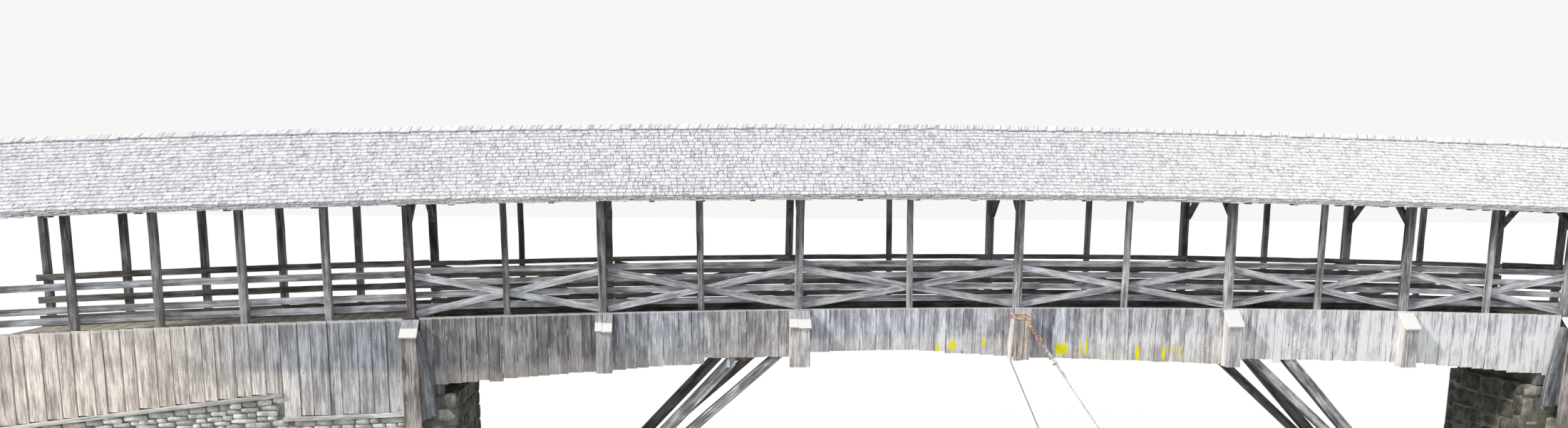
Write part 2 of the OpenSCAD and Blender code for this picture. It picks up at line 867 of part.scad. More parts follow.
wall_plate(false);  // back_wall_plate
tie_beams();
knee_braces();
rafters();
roof(true);  // front_roof
roof(false);  // back_roof
ridge_cap();
skirt(true);  // front_skirt
skirt(false);  // back_skirt
approach_skirts();
beam_casings();
casing_caps();
pier_casings();
stay_hoops();
stay_chains();
stay_shackles();
stay_ropes();
stay_anchors();
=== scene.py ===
# %% [markdown]
# # A covered timber footbridge
#
# The bridge is loaded from its solid model, which fixes every size and place.  This
# script then gives it the surfaces that a visitor sees: split shingles, weathered
# boards, old posts and braces, rough stones, rusty iron and a wire rope.  All sizes
# are metres, X runs along the bridge, Y across it and Z up.

# %% Load the solid model
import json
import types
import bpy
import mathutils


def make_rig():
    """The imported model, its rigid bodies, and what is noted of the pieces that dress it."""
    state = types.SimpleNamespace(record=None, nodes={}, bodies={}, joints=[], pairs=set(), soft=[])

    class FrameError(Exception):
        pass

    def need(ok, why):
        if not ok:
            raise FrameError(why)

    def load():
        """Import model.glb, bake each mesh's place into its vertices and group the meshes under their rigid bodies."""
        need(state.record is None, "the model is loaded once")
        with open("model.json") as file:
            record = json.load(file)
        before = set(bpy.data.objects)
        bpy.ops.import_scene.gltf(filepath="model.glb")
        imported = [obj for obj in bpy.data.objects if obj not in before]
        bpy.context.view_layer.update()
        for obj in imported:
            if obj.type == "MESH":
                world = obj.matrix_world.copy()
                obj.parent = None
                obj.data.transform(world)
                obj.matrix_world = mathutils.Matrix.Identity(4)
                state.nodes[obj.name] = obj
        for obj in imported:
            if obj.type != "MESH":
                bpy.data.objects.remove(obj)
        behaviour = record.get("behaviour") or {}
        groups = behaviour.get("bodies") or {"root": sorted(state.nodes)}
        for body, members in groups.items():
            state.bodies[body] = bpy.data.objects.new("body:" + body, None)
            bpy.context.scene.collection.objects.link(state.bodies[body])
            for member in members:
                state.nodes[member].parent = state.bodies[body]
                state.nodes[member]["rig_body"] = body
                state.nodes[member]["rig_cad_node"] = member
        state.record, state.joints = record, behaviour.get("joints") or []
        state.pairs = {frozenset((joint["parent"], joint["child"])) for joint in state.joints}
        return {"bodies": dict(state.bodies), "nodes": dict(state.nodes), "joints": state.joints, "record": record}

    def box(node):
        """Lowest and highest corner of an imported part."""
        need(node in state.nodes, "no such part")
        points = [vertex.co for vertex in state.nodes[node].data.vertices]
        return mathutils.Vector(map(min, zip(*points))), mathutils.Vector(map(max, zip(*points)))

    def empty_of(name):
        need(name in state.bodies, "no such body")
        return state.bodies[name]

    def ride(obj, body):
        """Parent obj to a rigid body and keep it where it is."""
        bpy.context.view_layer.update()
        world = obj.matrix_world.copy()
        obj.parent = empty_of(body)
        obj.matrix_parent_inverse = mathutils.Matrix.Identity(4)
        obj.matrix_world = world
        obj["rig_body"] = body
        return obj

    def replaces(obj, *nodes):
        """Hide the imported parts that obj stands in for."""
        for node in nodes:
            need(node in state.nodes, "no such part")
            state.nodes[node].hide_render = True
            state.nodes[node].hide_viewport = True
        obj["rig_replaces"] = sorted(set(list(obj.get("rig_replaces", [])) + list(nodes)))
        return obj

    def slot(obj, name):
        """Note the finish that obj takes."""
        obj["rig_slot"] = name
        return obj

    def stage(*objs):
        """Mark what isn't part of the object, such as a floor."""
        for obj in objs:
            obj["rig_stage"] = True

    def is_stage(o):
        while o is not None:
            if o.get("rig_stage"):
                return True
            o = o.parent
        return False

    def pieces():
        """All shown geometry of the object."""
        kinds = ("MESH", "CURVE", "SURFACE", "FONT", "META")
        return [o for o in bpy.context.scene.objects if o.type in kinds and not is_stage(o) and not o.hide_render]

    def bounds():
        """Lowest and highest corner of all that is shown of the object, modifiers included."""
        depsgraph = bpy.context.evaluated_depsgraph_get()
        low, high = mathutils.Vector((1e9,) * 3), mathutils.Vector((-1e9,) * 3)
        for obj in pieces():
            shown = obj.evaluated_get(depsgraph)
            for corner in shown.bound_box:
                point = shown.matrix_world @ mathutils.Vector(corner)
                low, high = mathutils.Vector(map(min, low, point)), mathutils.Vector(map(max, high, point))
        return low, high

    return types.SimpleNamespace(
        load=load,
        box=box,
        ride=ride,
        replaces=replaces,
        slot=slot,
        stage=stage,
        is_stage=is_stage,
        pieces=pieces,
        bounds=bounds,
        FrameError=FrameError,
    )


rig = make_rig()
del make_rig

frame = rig.load()

import json
import math

import bpy
import numpy as np
from mathutils import Matrix

CAD_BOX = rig.bounds()
X_AXIS, Y_AXIS, Z_AXIS = np.eye(3)
BOTH = (-1.0, 1.0)
print("solid model:", len(frame["nodes"]), "pieces")

# %% [markdown]
# ## Shader nodes in short words
#
# Every material is a tree of nodes.  The class Wiring makes nodes with few words, and a
# Value is what a node gives: sums and products of values add the nodes for them.  So
# `1 - x * 2` in this script is two nodes in the tree.

# %% Values
class Value:
    """What a node gives.  Its arithmetic adds nodes to its tree."""

    def __init__(self, wiring, socket):
        self.wiring, self.socket = wiring, socket

    def work(self, kind, a, b):
        many = self.socket.type == "VECTOR" or isinstance(a, tuple) or isinstance(b, tuple)
        return self.wiring.node("VectorMath" if many else "Math", {0: a, 1: b}, operation=kind)

    def __add__(self, other):
        return self.work("ADD", self, other)

    def __sub__(self, other):
        return self.work("SUBTRACT", self, other)

    def __rsub__(self, other):
        return self.work("SUBTRACT", other, self)

    def __mul__(self, other):
        return self.work("MULTIPLY", self, other)

    def __truediv__(self, other):
        return self.work("DIVIDE", self, other)

    def __abs__(self):
        return self.work("ABSOLUTE", self, None)

    def __iter__(self):
        """The three parts of a vector."""
        parts = self.wiring.node("SeparateXYZ", {0: self}).socket.node
        return iter([Value(self.wiring, part) for part in parts.outputs])


print(Value.__name__ + ":", Value.__doc__)

# %% Wiring
class Wiring:
    """Short words for the nodes of one tree."""

    def __init__(self, tree):
        self.tree = tree

    def put(self, socket, value):
        """Links a value to the socket or writes a number or colour on it."""
        if isinstance(value, Value):
            self.tree.links.new(value.socket, socket)
        elif value is not None:
            short = socket.type == "RGBA" and len(value) == 3
            socket.default_value = (*value, 1.0) if short else value

    def node(self, kind, inputs=(), output=0, **settings):
        """The output of a new node with those settings and inputs."""
        made = self.tree.nodes.new("ShaderNode" + kind)
        for name, value in settings.items():
            setattr(made, name, value)
        for key, value in dict(inputs).items():
            self.put(made.inputs[key], value)
        return Value(self, made.outputs[output]) if len(made.outputs) else made

    def group(self, tree, **inputs):
        """The outputs of a shader group with those inputs."""
        made = self.node("Group", inputs, node_tree=tree).socket.node
        return [Value(self, socket) for socket in made.outputs]

    def vector(self, x=0.0, y=0.0, z=0.0):
        return self.node("CombineXYZ", {0: x, 1: y, 2: z})

    def least(self, a, b):
        return self.node("Math", {0: a, 1: b}, operation="MINIMUM")

    def most(self, a, b):
        return self.node("Math", {0: a, 1: b}, operation="MAXIMUM")

    def noise(self, place, scale=1.0, detail=3.0, rough=0.55):
        return self.node("TexNoise", {"Vector": place, "Scale": scale, "Detail": detail,
                                      "Roughness": rough})

    def cells(self, place):
        """The distance to the nearest of the points strewn in space."""
        return self.node("TexVoronoi", {"Vector": place, "Scale": 1.0})

    def ramp(self, value, low, high, to_low=0.0, to_high=1.0):
        """A smooth step from to_low at low to to_high at high."""
        return self.node("MapRange", {"Value": value, "From Min": low, "From Max": high,
                                      "To Min": to_low, "To Max": to_high},
                         interpolation_type="SMOOTHSTEP")

    def mix(self, share, a, b, kind="MIX"):
        return self.node("Mix", {0: share, 6: a, 7: b}, 2, data_type="RGBA",
                         blend_type=kind, clamp_factor=True)

    def tint(self, colour, tone):
        """The colour times another colour or a grey."""
        return self.mix(1.0, colour, tone, "MULTIPLY")

    def not_over(self, colour, most=0.95):
        """The colour with no part brighter than bleached wood can be."""
        return self.mix(1.0, colour, (most, most, most), "DARKEN")

    def axes(self):
        """The place of the shaded point on the object."""
        return self.node("TexCoord", output="Object")

    def map(self, name):
        """The first and second part of a place on one of the timbers' two maps."""
        u, v, _ = self.node("UVMap", uv_map=name)
        return u, v

    def board(self):
        """The number drawn for each board or stone."""
        return self.node("Attribute", output="Fac", attribute_name="board")

    def table(self, place, rows, kind="LINEAR"):
        """The colours of the rows (place from 0 to 1, colour) along a ramp."""
        colours = self.node("ValToRGB", {0: place})
        ramp = colours.socket.node.color_ramp
        ramp.interpolation = kind
        while len(ramp.elements) < len(rows):
            ramp.elements.new(1.0)
        for element, (position, colour) in zip(ramp.elements, rows):
            element.position = position
            element.color = (*colour, 1.0)
        return colours


print("words:", ", ".join(word for word in vars(Wiring) if word[0] != "_"))

# %% [markdown]
# ## Where the camera stands
#
# The camera stands on the bank, a little left of the bridge's middle and just above the
# handrail, and looks slightly down.  Its place was worked out from the leaning of the
# posts and the bend of the two handrails.  The picture is a wide strip that was cut from
# a taller one, so the lens looks past its middle: that is what shift_y is for.

# %% Camera
IMAGE_W = 2200
FOCAL_PX = 1506.6
AXIS_DOWN_PX = 191.1
CAMERA_PLACE = (-5.694, -18.791, 5.987)
YAW, PITCH, ROLL = 0.09308, -0.15525, 0.00936
scene = bpy.context.scene


def camera_axes(yaw, pitch, roll):
    """The camera's right, up and back vectors.  The view direction is turned from +Y by
    the yaw towards +X and lifted by the pitch; right and up then turn by the roll."""
    view = np.array([math.sin(yaw) * math.cos(pitch), math.cos(yaw) * math.cos(pitch),
                     math.sin(pitch)])
    right = np.array([math.cos(yaw), -math.sin(yaw), 0.0])
    up = np.cross(right, view)
    return (right * math.cos(roll) + up * math.sin(roll),
            up * math.cos(roll) - right * math.sin(roll), -view)


def stand(name, data, axes, place=(0.0, 0.0, 0.0)):
    """An object whose own right, up and back are the given axes, at the place."""
    pose = np.eye(4)
    pose[:3, :3] = np.array(axes).T
    pose[:3, 3] = place
    thing = bpy.data.objects.new(name, data)
    thing.matrix_world = Matrix(pose)
    scene.collection.objects.link(thing)
    return thing


lens_data = bpy.data.cameras.new("bank_camera")
lens_data.sensor_width = 36.0
lens_data.lens = FOCAL_PX * lens_data.sensor_width / IMAGE_W
lens_data.shift_y = AXIS_DOWN_PX / IMAGE_W
lens_data.clip_end = 500.0
scene.camera = stand("bank_camera", lens_data, camera_axes(YAW, PITCH, ROLL), CAMERA_PLACE)
print("camera lens: %.2f mm" % lens_data.lens)

# %% [markdown]
# ## Light and floor
#
# The sun stands low in the left and only just in front of the bridge, so that it rakes
# along the boards and lights the left sides of the boxed beam ends.  A wide sun disc
# keeps its shadows soft, and an even sky fills them.  The floor is a plain pale sheet;
# a share of its colour is its own glow, seen by the camera and in reflections alone, so
# that it meets the sky's colour at the horizon and still shows the bridge's shadow.

# %% Sun
SUN_FROM = (-0.80, -0.31, 0.56)
SUN_POWER, SUN_DISC = 2.6, 0.10
scene.view_settings.view_transform = "Standard"
sun_light = bpy.data.lights.new("sun", "SUN")
sun_light.energy = SUN_POWER
sun_light.angle = SUN_DISC
sun_light.color = (1.0, 0.97, 0.92)
sun_back = np.array(SUN_FROM) / np.linalg.norm(SUN_FROM)
sun_side = np.cross(Z_AXIS, sun_back)
sun_side /= np.linalg.norm(sun_side)
stand("sun", sun_light, (sun_side, np.cross(sun_back, sun_side), sun_back))
print("sun at %.0f degrees over the ground" % math.degrees(math.asin(sun_back[2])))

# %% Sky
SKY_POWER = 0.70
SEEN_SKY = (0.93, 0.93, 0.92)


def empty_tree(owner, shader, out="OutputMaterial"):
    """Clears the tree of a material or world; gives its wiring, and its shader node,
    linked to its output."""
    owner.use_nodes = True
    owner.node_tree.nodes.clear()
    w = Wiring(owner.node_tree)
    value = w.node(shader)
    w.node(out, {0: value})
    return w, value.socket.node


def seen_rays(w):
    """One where a ray comes from the camera, a mirror or a glass, and zero elsewhere."""
    rays = w.node("LightPath").socket.node.outputs
    total = Value(w, rays["Is Camera Ray"])
    for name in ("Is Glossy Ray", "Is Transmission Ray"):
        total = w.node("Math", {0: total, 1: Value(w, rays[name])}, operation="ADD",
                       use_clamp=True)
    return total


scene.world = bpy.data.worlds.new("sky")
w, sky_mix = empty_tree(scene.world, "MixShader", "OutputWorld")
for index, value in enumerate((
        seen_rays(w), w.node("Background", {0: (0.90, 0.95, 1.0), 1: SKY_POWER}),
        w.node("Background", {0: SEEN_SKY}))):
    w.put(sky_mix.inputs[index], value)
print("sky:", len(scene.world.node_tree.nodes), "nodes")

# %% Floor sheet
FLOOR_COLOUR, FLOOR_GLOW = (0.55, 0.55, 0.54), (0.42, 0.42, 0.415)
FLOOR_HALF = 160.0


def mesh_piece(name, points, faces, smooth=False):
    """A mesh object from an array of points and a list of index arrays, one for each
    number of corners.  Its place is in its points."""
    mesh = bpy.data.meshes.new(name)
    corners = np.concatenate([f.ravel() for f in faces]).astype(np.int32)
    sizes = np.concatenate([np.full(len(f), f.shape[1]) for f in faces])
    starts = np.concatenate(([0], np.cumsum(sizes)[:-1])).astype(np.int32)
    mesh.vertices.add(len(points))
    mesh.vertices.foreach_set("co", np.ascontiguousarray(points, np.float32).ravel())
    mesh.loops.add(len(corners))
    mesh.loops.foreach_set("vertex_index", corners)
    mesh.polygons.add(len(sizes))
    mesh.polygons.foreach_set("loop_start", starts)
    mesh.polygons.foreach_set("use_smooth", np.full(len(sizes), smooth))
    mesh.update(calc_edges=True)
    piece = bpy.data.objects.new(name, mesh)
    scene.collection.objects.link(piece)
    return piece


floor_sheet = mesh_piece(
    "floor_sheet",
    np.array([[-1, -1, 0], [1, -1, 0], [1, 1, 0], [-1, 1, 0]]) * (FLOOR_HALF, FLOOR_HALF, 0)
    + (0, 0, CAD_BOX[0][2] - 0.001),
    [np.array([[0, 1, 2, 3]])])
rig.stage(floor_sheet)
floor_paint = bpy.data.materials.new("floor_paint")
w, floor_mix = empty_tree(floor_paint, "MixShader")
floor_flat = w.node("BsdfDiffuse", {0: FLOOR_COLOUR})
floor_seen = w.node("AddShader", {0: floor_flat, 1: w.node("Emission", {0: FLOOR_GLOW})})
for index, value in enumerate((seen_rays(w), floor_flat, floor_seen)):
    w.put(floor_mix.inputs[index], value)
floor_sheet.data.materials.append(floor_paint)
print("floor at z = %.3f" % CAD_BOX[0][2])

# %% [markdown]
# ## How the timbers are made
#
# Almost everything here is sawn timber: boards, posts, beams and shingles.  One function
# makes them all.  It carries a rectangle with cut corners along a line of stations, for
# hundreds of boards at once, as whole arrays.  Each board also gets two maps and a number
# that its material reads: the map "grain" in metres, across and along the board, the map
# "face" from 0 to 1 across each of its sides, and the number "board", which is drawn once
# for each board so that no two look alike.

# %% Lines and sections
def lerp(a, b, t):
    """The point that divides a to b in the share t."""
    return a + (b - a) * t


def stations(start, end, count):
    """Lines from each start to its end, with that many stations: start plus the share
    t of the way, for t from 0 to 1."""
    t = np.linspace(0.0, 1.0, count)[None, :, None]
    return lerp(np.asarray(start, float)[:, None, :], np.asarray(end, float)[:, None, :], t)


def section(half_w, half_d, cut):
    """The outline of a rectangle whose corners are cut off, as points anticlockwise.
    With no cut it has four corners, and otherwise two for each of them."""
    if cut <= 0:
        return (np.stack([half_w, half_w, -half_w, -half_w], -1),
                np.stack([-half_d, half_d, half_d, -half_d], -1))
    in_w, in_d = half_w - cut, half_d - cut
    return (np.stack([in_w, half_w, half_w, in_w, -in_w, -half_w, -half_w, -in_w], -1),
            np.stack([-half_d, -in_d, in_d, half_d, half_d, in_d, -in_d, -half_d], -1))


def per_station(size, shape):
    """A size for each board and station, from one number, one a board or all of them."""
    return np.broadcast_to(size if np.ndim(size) == 2 else np.reshape(size, (-1, 1)), shape)


print("corners of a section:", section(1.0, 1.0, 0.1)[0].size, "or",
      section(1.0, 1.0, 0.0)[0].size)

# %% Timbers: boards carried along lines
def add_map(piece, name, body, caps):
    """A map of the piece from its places on the sides and on the two ends."""
    both = np.concatenate([body.reshape(-1, 2), caps.reshape(-1, 2)]).astype(np.float32)
    piece.data.uv_layers.new(name=name).data.foreach_set("uv", both.ravel())


def add_number(piece, numbers, each):
    """The number of each board or stone, written on all of its points."""
    number = piece.data.attributes.new("board", "FLOAT", "POINT")
    number.data.foreach_set("value", np.repeat(numbers, each).astype(np.float32))


def timbers(name, line, wide, deep, width, depth, cut=0.004, wander=0.002, rng=1,
            skew=(0.0, 0.0)):
    """Boards whose middles follow the lines (board, station, xyz).  A corner is at
    middle + wide * a + deep * b, where (a, b) is a corner of the section; the middle
    wanders a little at each station, as sawn wood does.  The first and last corners
    move along the board by skew times a, so the ends can be cut aslant."""
    rng = np.random.default_rng(rng)
    line = np.asarray(line, float)
    boards, steps = shape = line.shape[:2]
    wide, deep = (np.broadcast_to(np.reshape(axis, (-1, 1, 3)), (boards, 1, 3))
                  for axis in (wide, deep))
    a, b = section(per_station(width, shape) / 2, per_station(depth, shape) / 2, cut)
    corners = a.shape[-1]
    line = line + wide * rng.normal(0, wander, shape)[..., None] \
        + deep * rng.normal(0, wander * 0.4, shape)[..., None]
    points = line[:, :, None, :] + wide[:, :, None, :] * a[..., None] \
        + deep[:, :, None, :] * b[..., None]
    whole = line[:, -1] - line[:, 0]
    ahead = whole / np.linalg.norm(whole, axis=1, keepdims=True)
    for station, share in ((0, skew[0]), (-1, skew[1])):
        slip = np.reshape(share, (-1, 1)) * a[:, station]
        points[:, station] += slip[..., None] * ahead[:, None, :]

    first = (np.arange(boards) * steps * corners)[:, None, None]
    s = (np.arange(steps - 1) * corners)[None, :, None]
    k = np.arange(corners)
    k2 = (k + 1) % corners
    quads = np.stack([first + s + k, first + s + k2, first + s + corners + k2,
                      first + s + corners + k], -1).reshape(-1, 4)
    start_cap = first[:, 0] + k[None, ::-1]
    end_cap = first[:, 0] + (steps - 1) * corners + k
    run = np.cumsum(np.linalg.norm(np.diff(line, axis=1), axis=2), axis=1)
    run = np.concatenate([np.zeros((boards, 1)), run], 1)[..., None]
    side = np.hypot(np.diff(a, axis=-1, append=a[..., :1]),
                    np.diff(b, axis=-1, append=b[..., :1]))
    around = np.concatenate([np.zeros(shape + (1,)), np.cumsum(side, -1)], -1)
    ends = ((0, 0), (0, 1), (1, 1), (1, 0))
    across = [around[:, up:steps - 1 + up, on:corners + on] for up, on in ends]
    along = [np.broadcast_to(run[:, up:steps - 1 + up], across[0].shape) for up, _ in ends]
    share = [height / run[:, -1:] for height in along]
    unit = [np.full(across[0].shape, float(on)) for _, on in ends]
    grain, face = (np.stack([np.stack(pair, -1) for pair in zip(*parts)], -2)
                   .reshape(-1, 4, 2) for parts in ((across, along), (unit, share)))
    cap_grain = np.stack([np.stack([a[:, at] + 0.5, b[:, at]], -1) for at in (0, -1)])
    cap_grain[0] = cap_grain[0][:, ::-1]
    if np.einsum("ij,ij->i", np.cross(wide[:, 0], deep[:, 0]), whole).mean() < 0:
        quads, start_cap, end_cap, grain, face = (
            part[:, ::-1] for part in (quads, start_cap, end_cap, grain, face))
        cap_grain = cap_grain[:, :, ::-1]
    piece = mesh_piece(name, points.reshape(-1, 3),
                       [quads, np.concatenate([start_cap, end_cap])])
    add_map(piece, "grain", grain, cap_grain)
    add_map(piece, "face", face, np.full_like(cap_grain, 0.5))
    add_number(piece, rng.random(boards), steps * corners)
    return piece


print("maps of a timber: grain, face; number of each board: board")

# %% Weld, coat and settle
def weld(name, pieces):
    """One object from several, with their maps and numbers kept."""
    bpy.ops.object.select_all(action="DESELECT")
    for piece in pieces:
        piece.select_set(True)
    bpy.context.view_layer.objects.active = pieces[0]
    bpy.ops.object.join()
    pieces[0].name = pieces[0].data.name = name
    return pieces[0]


def coat(piece, paint):
    """The piece gets that material alone."""
    piece.data.materials.clear()
    piece.data.materials.append(paint)


def coat_nodes(paint, *nodes):
    """Pieces that keep the solid model's own shape get their material."""
    for node in nodes:
        coat(frame["nodes"][node], paint)


def settle(piece, paint, slot, *nodes):
    """The piece gets its material, rides with the bridge and stands for its nodes."""
    coat(piece, paint)
    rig.ride(piece, "root")
    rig.slot(piece, slot)
    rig.replaces(piece, *nodes)
    print("%-24s %6d faces" % (piece.name, len(piece.data.polygons)))


print("settle:", settle.__doc__)

# %% [markdown]
# ## Weathered wood
#
# Old unpainted spruce turns silver grey.  Its late wood stays up as fine ridges, its
# edges and knots bleach or darken, and each board ages in its own way.  These effects
# are one shader group: it takes a place on the board and two colours, and puts out a
# colour and a height for the bump.

# %% Shader group: weathered wood
RAIL_LEVEL = 4.7


def group_tree(name, inputs, outputs):
    """A node group with those inputs (label, default) and outputs (label: kind): its
    wiring, its inputs as values and its output node."""
    tree = bpy.data.node_groups.new(name, "ShaderNodeTree")
    for label, value in inputs.items():
        kind = {tuple: "Color", float: "Float"}.get(type(value), "Vector")
        socket = tree.interface.new_socket(name=label, in_out="INPUT",
                                           socket_type="NodeSocket" + kind)
        if value is not None:
            socket.default_value = (*value, 1.0) if kind == "Color" else value
    for label, kind in outputs.items():
        tree.interface.new_socket(name=label, in_out="OUTPUT", socket_type="NodeSocket" + kind)
    w = Wiring(tree)
    src = {socket.name: Value(w, socket) for socket in tree.nodes.new("NodeGroupInput").outputs
           if socket.name}
    return w, src, tree.nodes.new("NodeGroupOutput")


def build_wood_group():
    """Place is (across, along, board): across and along in metres, board a number for
    each board.  Colour = dark to light by broad noise, times fine grain, times the
    board's own tone, with cracks, knots and bleached streaks on top."""
    w, src, out = group_tree(
        "weathered_wood",
        {"Place": None, "Dark": (0.1, 0.1, 0.1), "Light": (0.4, 0.4, 0.4),
         "Bleached": (0.8, 0.78, 0.76), "Spread": 0.25, "Streaks": 0.5, "Cracks": 0.6,
         "Knots": 0.7},
        {"Color": "Color", "Height": "Float"})
    across, along, board = src["Place"]
    own = w.vector(board * 37.7, board * 91.3, board * 53.1)
    flat = w.vector(across, along)

    def stretched(x, y, detail):
        """Noise with that many waves a metre across and along the board."""
        return w.noise(flat * (x, y, 1.0) + own, 1.0, detail)

    fine, broad, patch = stretched(150, 5, 4), stretched(16, 0.9, 3), stretched(5, 2.2, 2)
    crack, scratch = stretched(75, 1.1, 1), stretched(95, 2.6, 2)
    stain, chip = stretched(34, 0.8, 2), stretched(60, 11, 2)
    colour = w.mix(w.ramp(broad * 0.65 + patch * 0.45, 0.41, 0.69), src["Dark"], src["Light"])
    tone = w.node("TexWhiteNoise", {"W": board * 913.7}, noise_dimensions="1D")
    colour = w.tint(colour, (tone - 0.5) * (src["Spread"] * 2) + 1)
    colour = w.tint(colour, w.ramp(fine, 0.25, 0.8, 0.52, 1.42))
    colour = w.tint(colour, w.ramp(stain, 0.52, 0.72, 1.0, 0.55))
    knot = w.cells(flat * (7.5, 3.6, 1.0) + (own + w.vector(patch, broad) * (0.9, 0.6, 1.0)))
    ring = w.ramp(knot, 0.17, 0.10) * w.ramp(knot, 0.05, 0.10) * src["Knots"]
    streak = w.ramp(scratch, 0.60, 0.68) * w.ramp(patch, 0.36, 0.58)
    streak = w.most(streak, w.ramp(chip, 0.70, 0.77)) * src["Streaks"]
    colour = w.mix(w.most(streak, ring * 0.3), colour, src["Bleached"])
    colour = w.mix(w.ramp(knot, 0.09, 0.03) * src["Knots"] * 0.75, colour,
                   (0.07, 0.045, 0.03))
    line = w.ramp(crack, 0.66, 0.72) * src["Cracks"]
    w.put(out.inputs["Color"], w.mix(line, colour, (0.035, 0.03, 0.028)))
    w.put(out.inputs["Height"], fine * 0.6 + broad * 0.4 - line * 0.8)
    return w.tree


WOOD = build_wood_group()


print("wood group:", len(WOOD.nodes), "nodes")

# %% Paints
def paint_of(name, build, bump_depth, rough, specular=0.5, metallic=0.0, strength=0.6):
    """A material: build gives its colour and the height of its bumps."""
    paint = bpy.data.materials.new(name)
    w, shader = empty_tree(paint, "BsdfPrincipled")
    colour, height = build(w)
    w.put(shader.inputs["Base Color"], colour)
    w.put(shader.inputs["Normal"], w.node("Bump", {"Distance": bump_depth, "Height": height,
                                                   "Strength": strength}))
    for label, value in (("Roughness", rough), ("Specular IOR Level", specular),
                         ("Metallic", metallic)):
        shader.inputs[label].default_value = value
    return paint


def wood_paint(name, dark, light, bleached=(0.75, 0.74, 0.73), spread=0.25, streaks=0.5,
               cracks=0.6, knots=0.7, along=None, extra=None):
    """A wood of those colours.  Its grain follows the boards' own maps, or with along
    that axis of the object.  extra may change the colour further."""
    def build(w):
        if along is None:
            place = w.vector(*w.map("grain"), w.board())
        else:
            axes = list(w.axes())
            grain = axes.pop(along)
            place = w.vector(axes[0] + axes[1], grain, (axes[0] - axes[1]) * 0.02)
        colour, height = w.group(WOOD, Place=place, Dark=dark, Light=light,
                                 Bleached=bleached, Spread=spread, Streaks=streaks,
                                 Cracks=cracks, Knots=knots)
        return extra(w, colour) if extra else colour, height

    return paint_of(name, build, 0.003, 0.85, 0.25)


print("paints of a wood differ in:", WOOD.interface.items_tree.keys()[3:])

# %% [markdown]
# ### Marks and tones along the bridge
#
# Some boards carry daubs of paint, nail holes or runs of rust, and whole lots of
# boards are paler than others.  A picture could be laid on them, but a small table
# of places in a colour ramp says the same in a few numbers that can be changed.

# %% Marks and tones
def marked(w, spots, face, ragged=0.02):
    """One inside the marks on the front side beyond that face and zero elsewhere.  A mark
    is its two places along the bridge and the depths of its top and foot below the rail.
    A colour ramp holds them as a table along x: red is 1 inside a mark, and green and
    blue are half its two depths."""
    start, end = spots[0][0] - 0.1, spots[-1][1] + 0.1
    rows = [(0.0, (0, 0, 0))]
    for x_from, x_to, top, foot in spots:
        rows += [((x_from - start) / (end - start), (1, top / 2, foot / 2)),
                 ((x_to - start) / (end - start), (0, 0, 0))]
    x, y, z = w.axes()
    tear = w.noise(w.vector(x * 45, 0, z * 14)) - 0.5
    inside, top, foot = w.table((x + tear * ragged - start) / (end - start), rows, "CONSTANT")
    depth = (RAIL_LEVEL - z) * 0.5 + tear * (ragged * 6)
    return inside * w.ramp(y, 0.010 - face, 0.006 - face) \
        * (w.ramp(depth - top, -0.008, 0.008) * w.ramp(foot - depth, -0.008, 0.008))


def tones_along(w, colour, spots):
    """The colour times a tone that changes along the bridge: each spot is a place x
    and the tone's red, green and blue there."""
    start, end = spots[0][0], spots[-1][0]
    top = max(max(spot[1:]) for spot in spots)
    x, _, _ = w.axes()
    tone = w.table((x - start) / (end - start),
                   [((spot[0] - start) / (end - start), [part / top for part in spot[1:]])
                    for spot in spots])
    return w.tint(colour, tone * (top, top, top))


print("marks and tones are tables along x, read from a colour ramp")

# %% [markdown]
# ## The bridge's own measures
#
# The deck, the rails and the roof rise together to the middle of the bridge.  The fall
# from the middle is a parabola, and every height is given as a depth below the handrail.

# %% Levels and frames
BAYS = (3.78, 3.24, 3.11)
BAY_APPROACH = 1.31
CAMBER = 0.157
ROW = 0.9
POST = 0.15
MAIN_X = np.concatenate(([0.0], np.cumsum(BAYS)))
PIER_X = MAIN_X[-1]
THIN_X = (MAIN_X[:-1] + MAIN_X[1:]) / 2
APPROACH_X = PIER_X + BAY_APPROACH * np.arange(1, 6)
BEAM_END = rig.box("front_long_beam")[1][0]
ROOF_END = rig.box("front_roof")[1][0]
POST_OUT, POST_IN = ROW + POST / 2, ROW - POST / 2
BEAM_TOP = 0.8
CASING_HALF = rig.box("beam_casings")[1][0] - MAIN_X[2]
CASING_FACE = -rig.box("beam_casings")[0][1]
SKIRT_FACE = -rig.box("front_skirt")[0][1]
SIDES = (("front", -1.0), ("back", 1.0))
ENDS = (("left", -1.0), ("right", 1.0))


def both_ways(xs):
    """The places to the left of the middle and those to its right, from left to right."""
    return np.unique(np.concatenate((-np.asarray(xs), xs)))


def level(x, below):
    """Height of what lies that far below the handrail: the handrail falls from the
    middle by the camber times the square of x over the pier's distance."""
    return RAIL_LEVEL - below - CAMBER * (np.asarray(x) / PIER_X) ** 2


def points(x, y, z):
    """Stacks coordinates, spread to one shape, into points."""
    return np.stack(np.broadcast_arrays(*(np.asarray(c, float) for c in (x, y, z))), -1)


def along_bridge(x_from, x_to, y, below, steps=9):
    """Lines that run along the bridge at a depth below the handrail."""
    x = lerp(np.atleast_1d(x_from)[:, None], np.atleast_1d(x_to)[:, None],
             np.linspace(0, 1, steps))
    return points(x, np.reshape(y, (-1, 1)), level(x, np.reshape(below, (-1, 1))))


def heading(line):
    """The direction of each line from its first station to its last, of length one."""
    whole = line[:, -1] - line[:, 0]
    return whole / np.linalg.norm(whole, axis=1, keepdims=True)


print("frames at", np.round(MAIN_X, 2), "approach to", round(BEAM_END, 2))

# %% [markdown]
# ## Posts
#
# The main posts are squared logs with rounded edges that carry the roof on the frames;
# thin posts between them stiffen the railing, and the approaches have light posts.
# They are carried upwards as timbers, a little out of true as old posts are.

